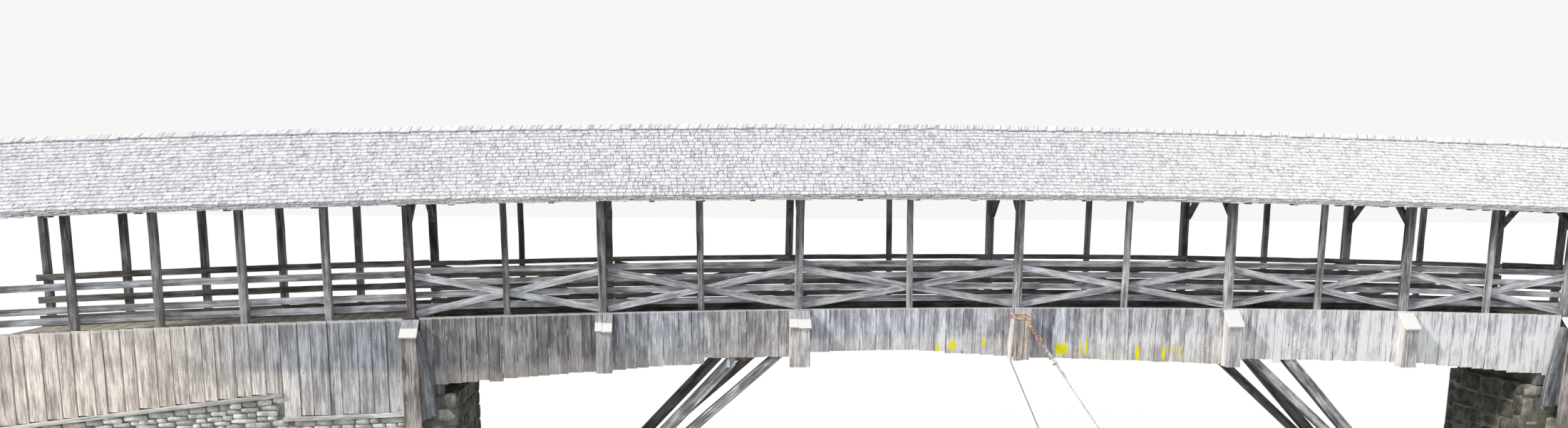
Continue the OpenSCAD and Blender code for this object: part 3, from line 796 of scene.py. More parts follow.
# %% Posts
POST_TONES = (
    (-16.7, 0.95, 0.90, 0.86), (-11.6, 1.25, 1.22, 1.22), (-10.3, 0.62, 0.56, 0.52),
    (-9.9, 0.62, 0.56, 0.52), (-7.1, 1.0, 0.97, 0.98), (-3.8, 1.15, 1.13, 1.14),
    (0.0, 1.45, 1.45, 1.46), (3.8, 1.5, 1.47, 1.44), (16.7, 1.4, 1.36, 1.32))
POST_LEAN = ((0, -0.022, -0.012, -0.018, -0.026, -0.012, -0.012),
             (-0.015, -0.045, 0.015, -0.028, -0.045, -0.020, -0.010))
THIN_LEAN = ((-0.020, -0.020, -0.010, -0.022, -0.010, -0.010),
             (-0.045, -0.035, -0.042, -0.012, -0.020, -0.015))
POST_W, POST_D = 0.128, 0.138
THIN_W, THIN_D, LIGHT_POST = 0.096, 0.078, 0.113
THIN_ROW, LIGHT_ROW = POST_OUT - 0.04, POST_IN + 0.0575


def post_extra(w, colour):
    """The tones along the bridge, and wood painted paler below the handrail, as if sunlit under the eave's shadow
    line.
    """
    # Painted light: the wood below the handrail is made paler, as if sunlit under the eave's shadow line.
    low = w.ramp(list(w.axes())[2], RAIL_LEVEL + 0.25, RAIL_LEVEL - 0.35, 1.0, 1.35)
    return w.tint(tones_along(w, colour, POST_TONES), low)


POST_GREY = wood_paint("post_grey", (0.085, 0.083, 0.087), (0.31, 0.305, 0.32),
                       (0.62, 0.60, 0.58), spread=0.28, streaks=0.7, cracks=1.0,
                       extra=post_extra)


def posts(name, xs, y, width, depth, seed, cut=0.010, lean=((0.0,), (0.0,))):
    """Upright timbers from the long beam to the wall plate.  lean moves their feet and
    their tops along the bridge."""
    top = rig.box("tie_beams")[1][2] - RAIL_LEVEL
    foot_move, top_move = np.array(lean)
    line = stations(points(xs + foot_move, y, level(xs, BEAM_TOP)),
                    points(xs + top_move, y, level(xs, -top)), 9)
    return timbers(name, line, X_AXIS, Y_AXIS, width, depth, cut, 0.002, seed)


for post_seed, (side, sign) in enumerate(SIDES, 11):
    for piece, node in (
            (posts(side + "_squared_posts", both_ways(MAIN_X), sign * ROW, POST_W, POST_D,
                   post_seed, lean=POST_LEAN), "_main_posts"),
            (posts(side + "_slender_posts", both_ways(THIN_X), sign * THIN_ROW, THIN_W,
                   THIN_D, post_seed + 2, 0.006, THIN_LEAN), "_thin_posts"),
            (posts(side + "_approach_post_row", both_ways(APPROACH_X), sign * LIGHT_ROW,
                   LIGHT_POST, LIGHT_POST, post_seed + 4, 0.008), "_approach_posts")):
        settle(piece, POST_GREY, "frame_timber", side + node)

# %% [markdown]
# ## Railing
#
# Four boards run inside the front posts and four behind, with crossed braces halved into
# each other between the main posts.  Boards were nailed up in lengths of a bay or two,
# so each is its own timber with a tight joint behind a post.

# %% Rail boards
RAIL_GREY = wood_paint("rail_grey", (0.20, 0.20, 0.21), (0.56, 0.56, 0.59), spread=0.28,
                       streaks=0.8, cracks=0.8)
BACK_RAIL_BROWN = wood_paint("back_rail_brown", (0.13, 0.115, 0.105), (0.40, 0.37, 0.35),
                             (0.60, 0.55, 0.50), spread=0.35, streaks=0.5, cracks=0.8)
BOARD_T = 0.030
FRONT_STEP, FRONT_H = 0.195, 0.100
BACK_STEP, BACK_H = 0.221, 0.088
APPROACH_RAIL_H = 0.110
FRONT_LOW, BACK_LOW = (0.042, 0.412, 0.585), (-0.025, 0.366, 0.690)
RAIL_END = PIER_X + POST / 2


def rail_row(x_joints, below, height, sign, rng):
    """Boards end to end between the joints, with a gap of two millimetres."""
    count = len(x_joints) - 1
    height = height * (1 + rng.normal(0, 0.03, count))
    return (x_joints[:-1] + 0.001, x_joints[1:] - 0.001,
            np.full(count, sign * (POST_IN - BOARD_T / 2)),
            np.full(count, below + np.mean(height) / 2), height)


def rail_boards(name, rows, seed, sign):
    """All rail boards of one side; a row is its joints, depth and board height."""
    rng = np.random.default_rng(seed)
    parts = [rail_row(*row, sign, rng) for row in rows]
    x_from, x_to, y, below, height = (np.concatenate(c) for c in zip(*parts))
    line = along_bridge(x_from, x_to, y, below, 11)
    return timbers(name, line, Z_AXIS, Y_AXIS * -sign, height, BOARD_T - 0.002, 0.004,
                   0.0022, rng)


all_posts = both_ways(MAIN_X[:3])
joints = [np.concatenate(([-RAIL_END], inner, [RAIL_END]))
          for inner in (all_posts[::2], all_posts)]
approach_joints = RAIL_END + np.array([0.004, 2.55, BEAM_END - RAIL_END])
front_rows = [(joints[k % 2], k * FRONT_STEP, FRONT_H) for k in range(4)]
back_rows = [(joints[1 - k % 2], k * BACK_STEP, BACK_H) for k in range(4)]
for side in BOTH:
    for rows, depths in ((front_rows, FRONT_LOW), (back_rows, BACK_LOW)):
        rows += [(np.sort(approach_joints * side), below, APPROACH_RAIL_H)
                 for below in depths]
settle(rail_boards("front_railing", front_rows, 21, -1.0), RAIL_GREY, "rail_boards",
       "front_rail_boards")
settle(rail_boards("back_railing", back_rows, 22, 1.0), BACK_RAIL_BROWN, "rail_boards",
       "back_rail_boards")

# %% [markdown]
# ### Crossed braces
#
# Two braces cross in each bay and are halved into each other.  They could be placed
# one by one, but a pair differs from the next only by the places of its two posts,
# so one formula lays them all.  Those in front are bleached more than those behind.

# %% Crossed braces
BRACE_GREY = wood_paint("brace_grey", (0.34, 0.345, 0.36), (0.78, 0.79, 0.83),
                        (0.92, 0.91, 0.92), spread=0.12, streaks=0.9, cracks=0.9)
BRACE_H, BRACE_T = 0.108, (0.060, 0.055)
BRACE_END, BRACE_ROW = 0.06, POST_IN + 0.03
BRACE_HIGH, BRACE_LOW = 0.12, BEAM_TOP - 0.055


def crossed_braces(name, sign, seed):
    """In each bay one brace falls to the right and one to the left.  A brace runs
    from below the handrail at one post to the long beam at the next."""
    xs = both_ways(MAIN_X)
    left, right = xs[:-1] + BRACE_END, xs[1:] - BRACE_END
    y = sign * BRACE_ROW
    line = np.concatenate([
        stations(points(left, y, level(left, start)), points(right, y, level(right, end)), 7)
        for start, end in ((BRACE_HIGH, BRACE_LOW), (BRACE_LOW, BRACE_HIGH))])
    return timbers(name, line, np.cross(heading(line), Y_AXIS), Y_AXIS, BRACE_H,
                   np.repeat(BRACE_T, len(left)), 0.006, 0.003, seed)


for (side, sign), paint, seed in zip(SIDES, (BRACE_GREY, POST_GREY), (31, 32)):
    settle(crossed_braces(side + "_crossed_braces", sign, seed), paint, "frame_timber",
           side + "_cross_braces")

# %% [markdown]
# ## Skirt boards
#
# Upright boards shelter the long beams from rain.  They were replaced in lots of
# different width and length, so the lower edge has steps, and each board ends a few
# millimetres off its neighbours.  On the main span the joints are listed; on the
# approaches a lot is given by its two ends and the usual width of its boards.

# %% Where the skirt boards lie
SKIRT_JOINTS = np.array((
    -9.99, -9.79, -9.57, -9.35, -9.26, -9.09, -8.91, -8.68, -8.44, -8.27, -8.12, -7.93, -7.77,
    -7.62, -7.38, -7.14, -6.88, -6.67, -6.49, -6.30, -6.05, -5.80, -5.58, -5.37, -5.23, -5.11,
    -4.94, -4.80, -4.67, -4.52, -4.37, -4.27, -4.13, -3.99, -3.78, -3.58, -3.26, -3.00, -2.75,
    -2.48, -2.23, -1.98, -1.72, -1.47, -1.27, -0.97, -0.66, -0.41, -0.26, -0.09, 0.23, 0.42,
    0.60, 0.84, 0.97, 1.06, 1.27, 1.48, 1.71, 1.96, 2.18, 2.36, 2.43, 2.71, 2.97, 3.18, 3.37,
    3.59, 3.78, 4.02, 4.11, 4.27, 4.42, 4.47, 4.61, 4.76, 4.95, 5.10, 5.31, 5.53, 5.72, 5.93,
    6.15, 6.36, 6.58, 6.80, 7.02, 7.24, 7.47, 7.70, 7.92, 8.15, 8.38, 8.60, 8.83, 9.06, 9.29,
    9.52, 9.75, 9.99))
SKIRT_FEET = np.array((
    (-PIER_X, 1.92), (-8.92, 1.858), (-8.915, 1.893), (-8.675, 1.880), (-8.67, 1.845),
    (-MAIN_X[2], 1.76), (-5.371, 1.68), (-5.37, 1.59), (-MAIN_X[1], 1.59),
    (-MAIN_X[1] + 0.001, 1.515), (-THIN_X[0], 1.505), (0.0, 1.64), (MAIN_X[1] - 0.001, 1.775),
    (MAIN_X[1], 1.67), (4.60, 1.678), (4.601, 1.737), (4.77, 1.737), (4.771, 1.679),
    (MAIN_X[2], 1.70), (PIER_X, 1.90)))
SKIRT_T, SKIRT_GAP = 0.026, 0.0025
SKIRT_MIDDLE, SKIRT_TOP = SKIRT_FACE - 0.015, BEAM_TOP - 0.008
print(len(SKIRT_JOINTS) - 1, "skirt boards on each side")

# %% Upright boards
def upright_boards(name, left, right, low, sign, rng):
    """Boards on the outside of a row, from their lower ends to the long beam's top."""
    middle = (left + right) / 2
    count = len(middle)
    y = sign * (SKIRT_MIDDLE + rng.uniform(-0.002, 0.0015, count))
    low = low + rng.normal(0, 0.005, count)
    lean = rng.normal(0, 0.002, count)
    line = stations(points(middle, y, low),
                    points(middle + lean, y, level(middle, SKIRT_TOP)), 6)
    twist = rng.normal(0, 0.009, count)
    wide = points(np.cos(twist), np.sin(twist), 0 * twist)
    return timbers(name, line, wide, np.cross(Z_AXIS, wide), right - left - SKIRT_GAP,
                   SKIRT_T, 0.002, 0.0007, rng)


print("a skirt board is %.0f mm thick" % (SKIRT_T * 1000))

# %% [markdown]
# ### Looks of the skirt
#
# Each lot of boards has weathered in its own tone, and these tones are partly painted light, brightening to the right.
# The joints are dark, the feet are painted warmer and lighter as if sunlit, the upper part right of the second frame
# carries a painted shadow of the eave, and daubs of yellow and white paint mark some boards.  All of it is laid over
# the wood's own colour in one function, from the broadest to the smallest.

# %% Looks of the skirt
# Tones of the lots along the bridge; their rise from left to right is partly painted light.
SKIRT_LOT_AND_LIGHT_TONES = (
    (-10.1, 0.70, 0.68, 0.69), (-7.1, 0.64, 0.62, 0.63), (-7.0, 1.07, 1.09, 1.15),
    (-5.4, 1.14, 1.17, 1.25), (-5.3, 1.18, 1.15, 1.16), (-3.9, 1.25, 1.21, 1.22),
    (-3.7, 1.46, 1.47, 1.52), (-0.43, 2.05, 2.03, 1.98), (-0.40, 1.55, 1.50, 1.44),
    (0.22, 1.55, 1.50, 1.44), (0.225, 0.88, 0.89, 0.92), (0.60, 0.88, 0.89, 0.92),
    (0.605, 1.70, 1.72, 1.70), (0.84, 1.70, 1.72, 1.70), (0.845, 1.2, 1.2, 1.2),
    (1.05, 1.2, 1.2, 1.2), (1.06, 1.85, 1.83, 1.72), (1.8, 1.90, 1.86, 1.76),
    (2.0, 1.66, 1.63, 1.56), (2.5, 1.66, 1.63, 1.56), (3.7, 1.95, 1.90, 1.78),
    (3.8, 2.52, 2.50, 2.38), (7.0, 2.52, 2.50, 2.38))
YELLOW_MARKS = (
    (-1.448, -1.383, 1.42, 1.51), (-1.227, -1.110, 1.35, 1.52), (-0.645, -0.603, 1.32, 1.44),
    (0.640, 0.870, 1.42, 1.61), (1.070, 1.115, 1.43, 1.62), (1.180, 1.220, 1.36, 1.61),
    (1.588, 1.642, 1.62, 1.66), (2.091, 2.156, 1.48, 1.70), (2.565, 2.620, 1.47, 1.70),
    (2.720, 2.769, 1.47, 1.62), (2.862, 2.903, 1.47, 1.69))
WHITE_MARKS = ((-1.360, -1.330, 1.14, 1.55), (-1.313, -1.280, 0.99, 1.55))
NAILED = ((-5.37, -3.95, 0.81, 1.60), (4.02, 5.50, 0.81, 1.80))
DARK_JOINT, PALE_JOINT = (0.05, 0.045, 0.042), (0.78, 0.76, 0.75)
WHITE = (1.0, 1.0, 1.0)


def board_rims(w, colour, share, width, pale_from=0.50):
    """Joints between boards, dark but bleached where a noise is over pale_from, and a
    pale top."""
    u, v = w.map("face")
    x, _, z = w.axes()
    worn = w.noise(w.vector(x * 4.1, 0, z * 2.6))
    tone = w.mix(w.ramp(worn, pale_from, pale_from + 0.08), DARK_JOINT, PALE_JOINT)
    colour = w.mix(w.ramp(w.least(u, 1 - u), width, width * 0.4) * share, colour, tone)
    return w.mix(w.ramp(v, 0.965, 0.98, 0.0, 0.55), colour, (0.80, 0.77, 0.73))


def skirt_extra(w, colour):
    """The lots' own tones along the bridge, partly painted light as they brighten to the right, blots of damp, and a
    foot painted warm and lighter as if sunlit. Right of the second frame the upper part is painted bluish grey as the
    eave's shadow, and the rest is painted brighter as sunlit. Nail holes and daubs of white and yellow paint come
    last."""
    x, _, z = w.axes()
    _, up = w.map("grain")
    ragged = w.noise(w.vector(x * 14, z * 1.5))
    # Painted shadow of the eave: right of x = -3.7 the upper boards are tinted bluish grey, and those below the line
    # are painted brighter as sunlit.
    sunlit_part = w.ramp(z + ragged * 0.10, RAIL_LEVEL - 1.17, RAIL_LEVEL - 1.31)
    change = w.mix(sunlit_part, (0.91, 0.93, 1.0), (1.17, 1.16, 1.18))
    colour = w.tint(tones_along(w, colour, SKIRT_LOT_AND_LIGHT_TONES),
                    w.mix(w.ramp(x, -3.7, -3.6), WHITE, change))
    # Painted sunlight: the foot of each board is mixed towards a warm, lighter colour.
    foot = w.ramp(up + ragged * -0.35, 0.18, -0.12)
    colour = w.mix(foot * 0.35, colour, (0.66, 0.59, 0.52))
    blot = w.noise(w.vector(x * 3, 0, z * 1.6), 1.0, 4.0, 0.65)
    colour = board_rims(w, w.tint(colour, w.ramp(blot, 0.32, 0.68, 0.76, 1.18)), 0.9, 0.028)
    hole = w.ramp(w.cells(w.vector(x * 6.5, 0, z * 5.5)), 0.075, 0.045)
    colour = w.mix(hole * marked(w, NAILED, SKIRT_FACE, 0.0), colour, (0.02, 0.018, 0.016))
    colour = w.mix(marked(w, WHITE_MARKS, SKIRT_FACE, 0.01) * 0.95, colour,
                   (0.95, 0.94, 0.92))
    worn = w.ramp(w.noise(w.vector(x * 60, 0, z * 9)), 0.22, 0.42)
    return w.not_over(w.mix(marked(w, YELLOW_MARKS, SKIRT_FACE, 0.03) * worn, colour,
                            (0.95, 0.87, 0.01)))


SKIRT_PAINT = wood_paint("skirt_weathered", (0.25, 0.248, 0.26), (0.55, 0.545, 0.56),
                         (0.92, 0.90, 0.88), spread=0.25, streaks=1.0, cracks=0.55,
                         knots=0.8, extra=skirt_extra)
print("paint marks:", len(YELLOW_MARKS), "yellow,", len(WHITE_MARKS), "white")

# %% Skirt boards
for (side, sign), seed in zip(SIDES, (41, 42)):
    left, right = SKIRT_JOINTS[:-1], SKIRT_JOINTS[1:]
    middle = (left + right) / 2
    low = level(middle, np.interp(middle, *SKIRT_FEET.T))
    settle(upright_boards(side + "_skirt_boards", left, right, low, sign,
                          np.random.default_rng(seed)),
           SKIRT_PAINT, "skirt_boards", side + "_skirt")

# %% [markdown]
# ### Skirts and sills of the approaches
#
# On an approach the skirt stands on a sill plank that follows the wall's top, with a
# step where the wall rises.  No single joint can be read off there, so the boards
# come from the ends of a lot and their usual width.

# %% Approach skirts
WALL_STEP = PIER_X + 2.07
WALL_TOP_X = np.array([PIER_X + 0.16, WALL_STEP, WALL_STEP + 0.0001, BEAM_END])
WALL_TOP_Z = np.array([2.12, 2.055, 2.465, 1.91])
SILL_H = 0.075


def board_edges(lots, rng):
    """Edges of the boards of each lot: evenly divided, then moved by a sixth of a
    width at random, all but the lot's ends."""
    left, right = [], []
    for start, end, width in lots:
        count = max(1, round((end - start) / width))
        edges = np.linspace(start, end, count + 1)
        edges[1:-1] += rng.uniform(-0.17, 0.17, count - 1) * width
        left.append(edges[:-1])
        right.append(edges[1:])
    return np.concatenate(left), np.concatenate(right)


def approach_extra(w, colour):
    """Warmer and paler towards the ends of the bridge, with a painted bluish shadow of the eave on the upper part near
    the piers, and dark joints."""
    x, _, z = w.axes()
    away = abs(x)
    tone = w.mix(w.ramp(away, PIER_X + 0.3, PIER_X + 4.5), (1.10, 1.09, 1.10),
                 (1.52, 1.38, 1.24))
    ragged = w.noise(w.vector(x * 14, z * 1.5))
    # Painted shadow of the eave: the upper boards near the piers are tinted bluish grey, fading away from the piers.
    under = w.ramp(z + ragged * 0.12, RAIL_LEVEL - 1.84, RAIL_LEVEL - 1.68)
    eave_shadow = under * w.ramp(away, PIER_X + 4.0, PIER_X + 2.0, 0.25, 1.0)
    tone = w.tint(tone, w.mix(eave_shadow, WHITE, (0.65, 0.695, 0.755)))
    return board_rims(w, w.tint(colour, tone), 0.9, 0.034, 0.62)


APPROACH_PAINT = wood_paint("approach_weathered_painted_shade", (0.36, 0.355, 0.36), (0.74, 0.73, 0.73),
                            (0.93, 0.91, 0.88), spread=0.14, streaks=0.9, cracks=0.45,
                            knots=0.9, extra=approach_extra)
approach_parts = []
for index, (end_side, sign) in enumerate([(e, s) for s in BOTH for e in BOTH]):
    rng = np.random.default_rng(50 + index)
    start = PIER_X + CASING_HALF + 0.004
    left, right = board_edges(((start, WALL_STEP - 0.002, 0.235),
                               (WALL_STEP + 0.002, BEAM_END, 0.25)), rng)
    low = np.interp((left + right) / 2, WALL_TOP_X, WALL_TOP_Z) + SILL_H + 0.006
    if end_side < 0:
        left, right = -right, -left
    approach_parts.append(upright_boards("approach_part", left, right, low, sign, rng))
settle(weld("approach_skirt_boards", approach_parts), APPROACH_PAINT, "skirt_boards",
       "approach_skirts")

# %% Sill planks on the approach walls
SILL_PAINT = wood_paint("sill_bleached", (0.58, 0.56, 0.52), (0.90, 0.88, 0.84),
                        (0.94, 0.92, 0.89), spread=0.1, cracks=0.9)
SILL_OUT = -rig.box("left_approach_wall")[0][1] + 0.015
sill_width = SILL_OUT - POST_IN - 0.0003
sill_corners = points(WALL_TOP_X, SILL_OUT - sill_width / 2, WALL_TOP_Z + SILL_H / 2)
sill_lines = [stations(sill_corners[i:i + 1] * (end_side, sign, 1),
                       sill_corners[i + 1:i + 2] * (end_side, sign, 1), 9)[0]
              for end_side in BOTH for sign in BOTH for i in (0, 2)]
settle(timbers("sill_plank_row", sill_lines, Y_AXIS, Z_AXIS, sill_width, SILL_H - 0.004,
               0.012, 0.003, 55),
       SILL_PAINT, "sill_planks", "approach_sills")

# %% [markdown]
# ## Boxed beam ends
#
# The cross beams under the main frames run out past the skirts, where raking struts once stood.  Boards box in each
# end, and a short sloping roof of two boards sheds the rain; its lower half is painted a sunlit cream and its upper
# half a grey shadow of the eave.  The middle box has an iron hoop and a thin lid instead.

# %% Measures of the boxes
CASING_T = 0.028
CASING_X = both_ways(MAIN_X[:3])
CASING_HALVES = np.array((CASING_HALF, 0.1675, 0.14, CASING_HALF, CASING_HALF))
CASING_FEET = (1.77, 1.74, 1.665, 1.79, 1.77)
CASING_FRONTS = (1, 2, 2, 1, 1)
SPLAY = 0.045
CAP_TOP = BEAM_TOP + 0.005
CAP_T = 0.045
CAP_SLOPE = 0.95
CAP_LIP = 0.04
CAP_SIDE, CAP_SPLIT = 0.015, -0.16
HOOP_TOP = BEAM_TOP + 0.14
print("boxes at", np.round(CASING_X, 2))

# %% Box boards
CASING_TONES = (
    (-7.4, 0.86, 0.88, 0.94), (-6.6, 0.86, 0.88, 0.94), (-4.1, 1.42, 1.40, 1.42),
    (-3.5, 1.42, 1.40, 1.42), (-0.3, 1.22, 1.18, 1.16), (0.3, 1.22, 1.18, 1.16),
    (3.4, 1.20, 1.18, 1.24), (7.4, 1.20, 1.18, 1.24))
RUST_RUNS = ((-0.055, -0.030, 0.97, 1.45), (0.015, 0.050, 0.97, 1.75),
             (0.085, 0.139, 0.97, 1.80))
BOX_YELLOW = ((-0.068, -0.045, 1.585, 1.650),)


def casing_extra(w, colour):
    """The boxes' own tones, the side boards painted a pinkish pale as if sunlit, and rust that has run down the middle
    one from its hoop.
    """
    colour = board_rims(w, tones_along(w, colour, CASING_TONES), 0.8, 0.022)
    _, y, _ = w.axes()
    # Painted light: the boxes' side boards are mixed half way to a pinkish pale, as if sunlit.
    side = w.ramp(abs(y), CASING_FACE - 0.031, CASING_FACE - 0.035)
    colour = w.mix(side * 0.5, colour, (0.95, 0.88, 0.83))
    colour = w.mix(marked(w, RUST_RUNS, CASING_FACE, 0.05) * 0.5, colour, (0.36, 0.21, 0.13))
    return w.not_over(w.mix(marked(w, BOX_YELLOW, CASING_FACE) * 0.7, colour,
                            (0.85, 0.72, 0.05)))


CASING_PAINT = wood_paint("casing_weathered_painted_light", (0.30, 0.285, 0.28), (0.64, 0.62, 0.60),
                          (0.92, 0.88, 0.83), spread=0.14, streaks=0.9, cracks=0.8,
                          knots=0.9, extra=casing_extra)


def casing(x, sign, low, high, half, fronts, fall, rng, splay=0.0):
    """Front boards side by side and a board on each side.  The side boards' tops fall
    outwards with the cap, from the height high at the skirt to the front boards' top.
    The left board's foot can be splayed outwards."""
    edges = np.linspace(-half, half, fronts + 1)
    middle = (edges[:-1] + edges[1:]) / 2
    y = sign * (CASING_FACE - CASING_T / 2)
    front_high = high - fall * (CASING_FACE - SKIRT_FACE)
    foot = points(x + middle + rng.normal(0, 0.004, fronts), y,
                  low + rng.normal(0, 0.006, fronts))
    front = timbers("casing_part", stations(foot, points(x + middle, y, front_high), 6),
                    X_AXIS, Y_AXIS, np.diff(edges) - 0.003, CASING_T, 0.003, 0.0012, rng)
    depth = CASING_FACE - CASING_T - SKIRT_FACE - 0.001
    y = sign * (SKIRT_FACE + depth / 2)
    side_x = x + np.array(BOTH) * (half - CASING_T / 2)
    line = stations(points(side_x - (splay, 0.0), y, low),
                    points(side_x, y, high - fall * depth / 2), 6)
    return [front, timbers("casing_part", line, Y_AXIS, X_AXIS, depth, CASING_T, 0.003,
                           0.0012, rng, (0.0, -sign * fall))]


casing_parts = []
for index, x in enumerate(CASING_X):
    for sign in BOTH:
        capped = x != 0
        high = level(x, CAP_TOP + CAP_T if capped else HOOP_TOP) - 0.001
        casing_parts += casing(x, sign, level(x, CASING_FEET[index]), high,
                               CASING_HALVES[index], CASING_FRONTS[index],
                               CAP_SLOPE * capped,
                               np.random.default_rng(60 + 2 * index + int(sign > 0)),
                               SPLAY * (not capped))
settle(weld("casing_box_boards", casing_parts), CASING_PAINT, "casing_boards",
       "beam_casings")

# %% The middle boxes' lids
def lid_extra(w, colour):
    """A brown board whose edges are bleached."""
    u, v = w.map("face")
    edge = w.least(w.least(u, 1 - u), w.least(v, 1 - v))
    return w.mix(w.ramp(edge, 0.10, 0.05), colour, (0.92, 0.84, 0.78))


LID_PAINT = wood_paint("lid_brown", (0.24, 0.13, 0.08), (0.66, 0.50, 0.38),
                       (0.88, 0.80, 0.74), spread=0.1, streaks=0.6, cracks=0.8,
                       extra=lid_extra)
LID_T = 0.014
LID_BACK, LID_FRONT = 0.034, 0.001
lid_y = SKIRT_FACE + 0.001 + np.array((0.0, CASING_FACE - SKIRT_FACE + 0.010))
lid_z = level(0, HOOP_TOP) + np.array((LID_BACK, LID_FRONT)) + LID_T / 2
lid_ends = [points(0.0, np.array(BOTH) * y, z) for y, z in zip(lid_y, lid_z)]
settle(timbers("middle_box_lids", stations(*lid_ends, 3), X_AXIS, Z_AXIS,
               2 * CASING_HALVES[2] + 0.02, LID_T, rng=69),
       LID_PAINT, "casing_boards", "beam_casings")

# %% Cap boards
def cap_extra(w, colour):
    """The upper half of a cap keeps the grey as a painted shadow of the eave; the rest is painted a sunlit cream. The
    caps right of the middle are painted sunlit all over."""
    _, v = w.map("face")
    x, _, _ = w.axes()
    # Painted light: the lower half of each cap, and all of a cap right of x = 3 m, is painted a sunlit cream; the
    # upper half keeps the grey as painted shadow of the eave.
    sunlit_part = w.most(w.ramp(v, 0.46, 0.54), w.ramp(x, 3.0, 3.1))
    grain = w.tint((0.97, 0.94, 0.89), w.mix(0.35, WHITE, colour))
    return w.mix(sunlit_part, colour, w.mix(0.7, grain, (1.0, 0.97, 0.93)))


CAP_PAINT = wood_paint("cap_painted_shade_and_sun", (0.36, 0.36, 0.38), (0.66, 0.65, 0.66),
                       (0.95, 0.93, 0.90), spread=0.08, streaks=0.7, cracks=0.5, knots=0.5,
                       extra=cap_extra)

cap_rows = []
for x in both_ways(MAIN_X[1:]):
    for sign in BOTH:
        half = np.interp(x, CASING_X, CASING_HALVES) if abs(x) < PIER_X else CASING_HALF
        half += CAP_SIDE
        inner = np.array((x, sign * (SKIRT_FACE + 0.001), level(x, CAP_TOP + CAP_T / 2)))
        reach = CASING_FACE + CAP_LIP - SKIRT_FACE
        outer = inner + (0, sign * reach, -CAP_SLOPE * reach - 0.02)
        split = (CAP_SPLIT,) if -PIER_X < x < -MAIN_X[1] + 0.1 else ()
        cuts = (-1.0, *split, 1.0)
        for a, b in zip(cuts[:-1], cuts[1:]):
            side = np.array((half * (a + b) / 2, 0, 0))
            cap_rows.append((inner + side, lerp(inner, outer, 0.95 if b < 1 else 1) + side,
                             half * (b - a) - 0.003))
cap_start, cap_end, cap_width = (np.array(c) for c in zip(*cap_rows))
cap_line = stations(cap_start, cap_end, 6)
settle(timbers("cap_boards_row", cap_line, X_AXIS, np.cross(X_AXIS, heading(cap_line)),
               cap_width, CAP_T * 0.72, rng=70),
       CAP_PAINT, "cap_boards", "casing_caps")

# %% [markdown]
# ## The tall casings on the piers
#
# On a pier the casing runs down to the ground.  Its front is a heavy dark plank, wider at
# the foot and split by the sun, and a wing of boards spreads from its river side.

# %% Measures and looks of the pier casings
PIER_BOARD_PAINT = wood_paint("pier_plank_dark", (0.17, 0.14, 0.125), (0.60, 0.53, 0.50),
                              (0.92, 0.86, 0.82), spread=0.1, streaks=1.0, cracks=1.0,
                              knots=1.0)
WING_PAINT = wood_paint("wing_board_grey", (0.11, 0.115, 0.125), (0.30, 0.31, 0.33),
                        spread=0.25, streaks=0.5, cracks=0.9)
WING_DEPTH = np.array((1.15, 1.24, 2.04, 2.59))
WING_SPREAD = np.array((0.02, 0.06, 0.205, 0.258))
CASING_FLARE = 0.075
PLANK_CASING_T, PLANK_MIDDLE = 0.046, CASING_FACE - 0.024
PLANK_BACK = CASING_FACE - 0.05
WING_FRONTS, WING_SIDES, WING_RAGGED = 3, 4, 0.05


def wing_line(share, y, end_side, out, rng):
    """Lines of a wing's boards from its top to their uneven feet: at a share of the
    spread, out from the casing's river side, which grows with the depth."""
    count = max(np.size(share), np.size(y))
    foot = WING_DEPTH[-1] - rng.uniform(0, WING_RAGGED, count)
    depths = lerp(WING_DEPTH[0], foot[:, None], np.linspace(0, 1, 9)[None, :])
    spread = np.interp(depths, WING_DEPTH, WING_SPREAD)
    x = end_side * (PIER_X - CASING_HALF - spread * np.reshape(share, (-1, 1)) + out)
    return points(x, np.reshape(y, (-1, 1)), RAIL_LEVEL - depths), spread


print("wings spread by %.2f m at their feet" % WING_SPREAD[-1])

# %% Pier casings
plank_parts, wing_parts = [], []
for end_side in BOTH:
    for sign in BOTH:
        rng = np.random.default_rng(80 + int(end_side + 1) + int(sign > 0))
        x = end_side * PIER_X
        high = level(x, CAP_TOP + CAP_T)
        front_y = sign * PLANK_MIDDLE
        widths = np.linspace(2 * CASING_HALF + CASING_FLARE, 2 * CASING_HALF, 9)[None, :]
        line = stations([(x - end_side * CASING_FLARE / 2, front_y, 0.0)],
                        [(x, front_y, high - CAP_SLOPE * (CASING_FACE - SKIRT_FACE))], 9)
        plank_parts.append(timbers("plank_part", line, X_AXIS, Y_AXIS, widths - 0.004,
                                   PLANK_CASING_T, 0.008, rng=rng))
        back = POST_OUT + 0.001
        depth = PLANK_BACK - back
        side_x = x + end_side * (CASING_HALF - 0.016)
        side_y = sign * (back + depth / 2)
        line = stations([(side_x, side_y, 0.0)], [
            (side_x, side_y, high - CAP_SLOPE * (back + depth / 2 - SKIRT_FACE))], 7)
        plank_parts.append(timbers("side_part", line, Y_AXIS, X_AXIS, depth, CASING_T, 0.003,
                                   rng=rng, skew=(0.0, -sign * CAP_SLOPE)))

        line, spread = wing_line((np.arange(WING_FRONTS) + 0.5) / WING_FRONTS,
                                 sign * (PLANK_BACK + 0.001 - CASING_T / 2), end_side,
                                 0.0, rng)
        wing_parts.append(timbers("wing_part", line, X_AXIS, Y_AXIS,
                                  spread / WING_FRONTS - 0.002, CASING_T, 0.002, 0.001, rng))
        y_edge = sign * np.linspace(SKIRT_FACE + 0.001, PLANK_BACK - CASING_T,
                                    WING_SIDES + 1)
        line, _ = wing_line(1.0, (y_edge[:-1] + y_edge[1:]) / 2, end_side, CASING_T / 2, rng)
        wing_parts.append(timbers("wing_part", line, Y_AXIS, X_AXIS,
                                  np.abs(np.diff(y_edge)) - 0.003, CASING_T, 0.002, 0.001,
                                  rng))
settle(weld("pier_plank_casings", plank_parts), PIER_BOARD_PAINT, "dark_boards",
       "pier_casings")
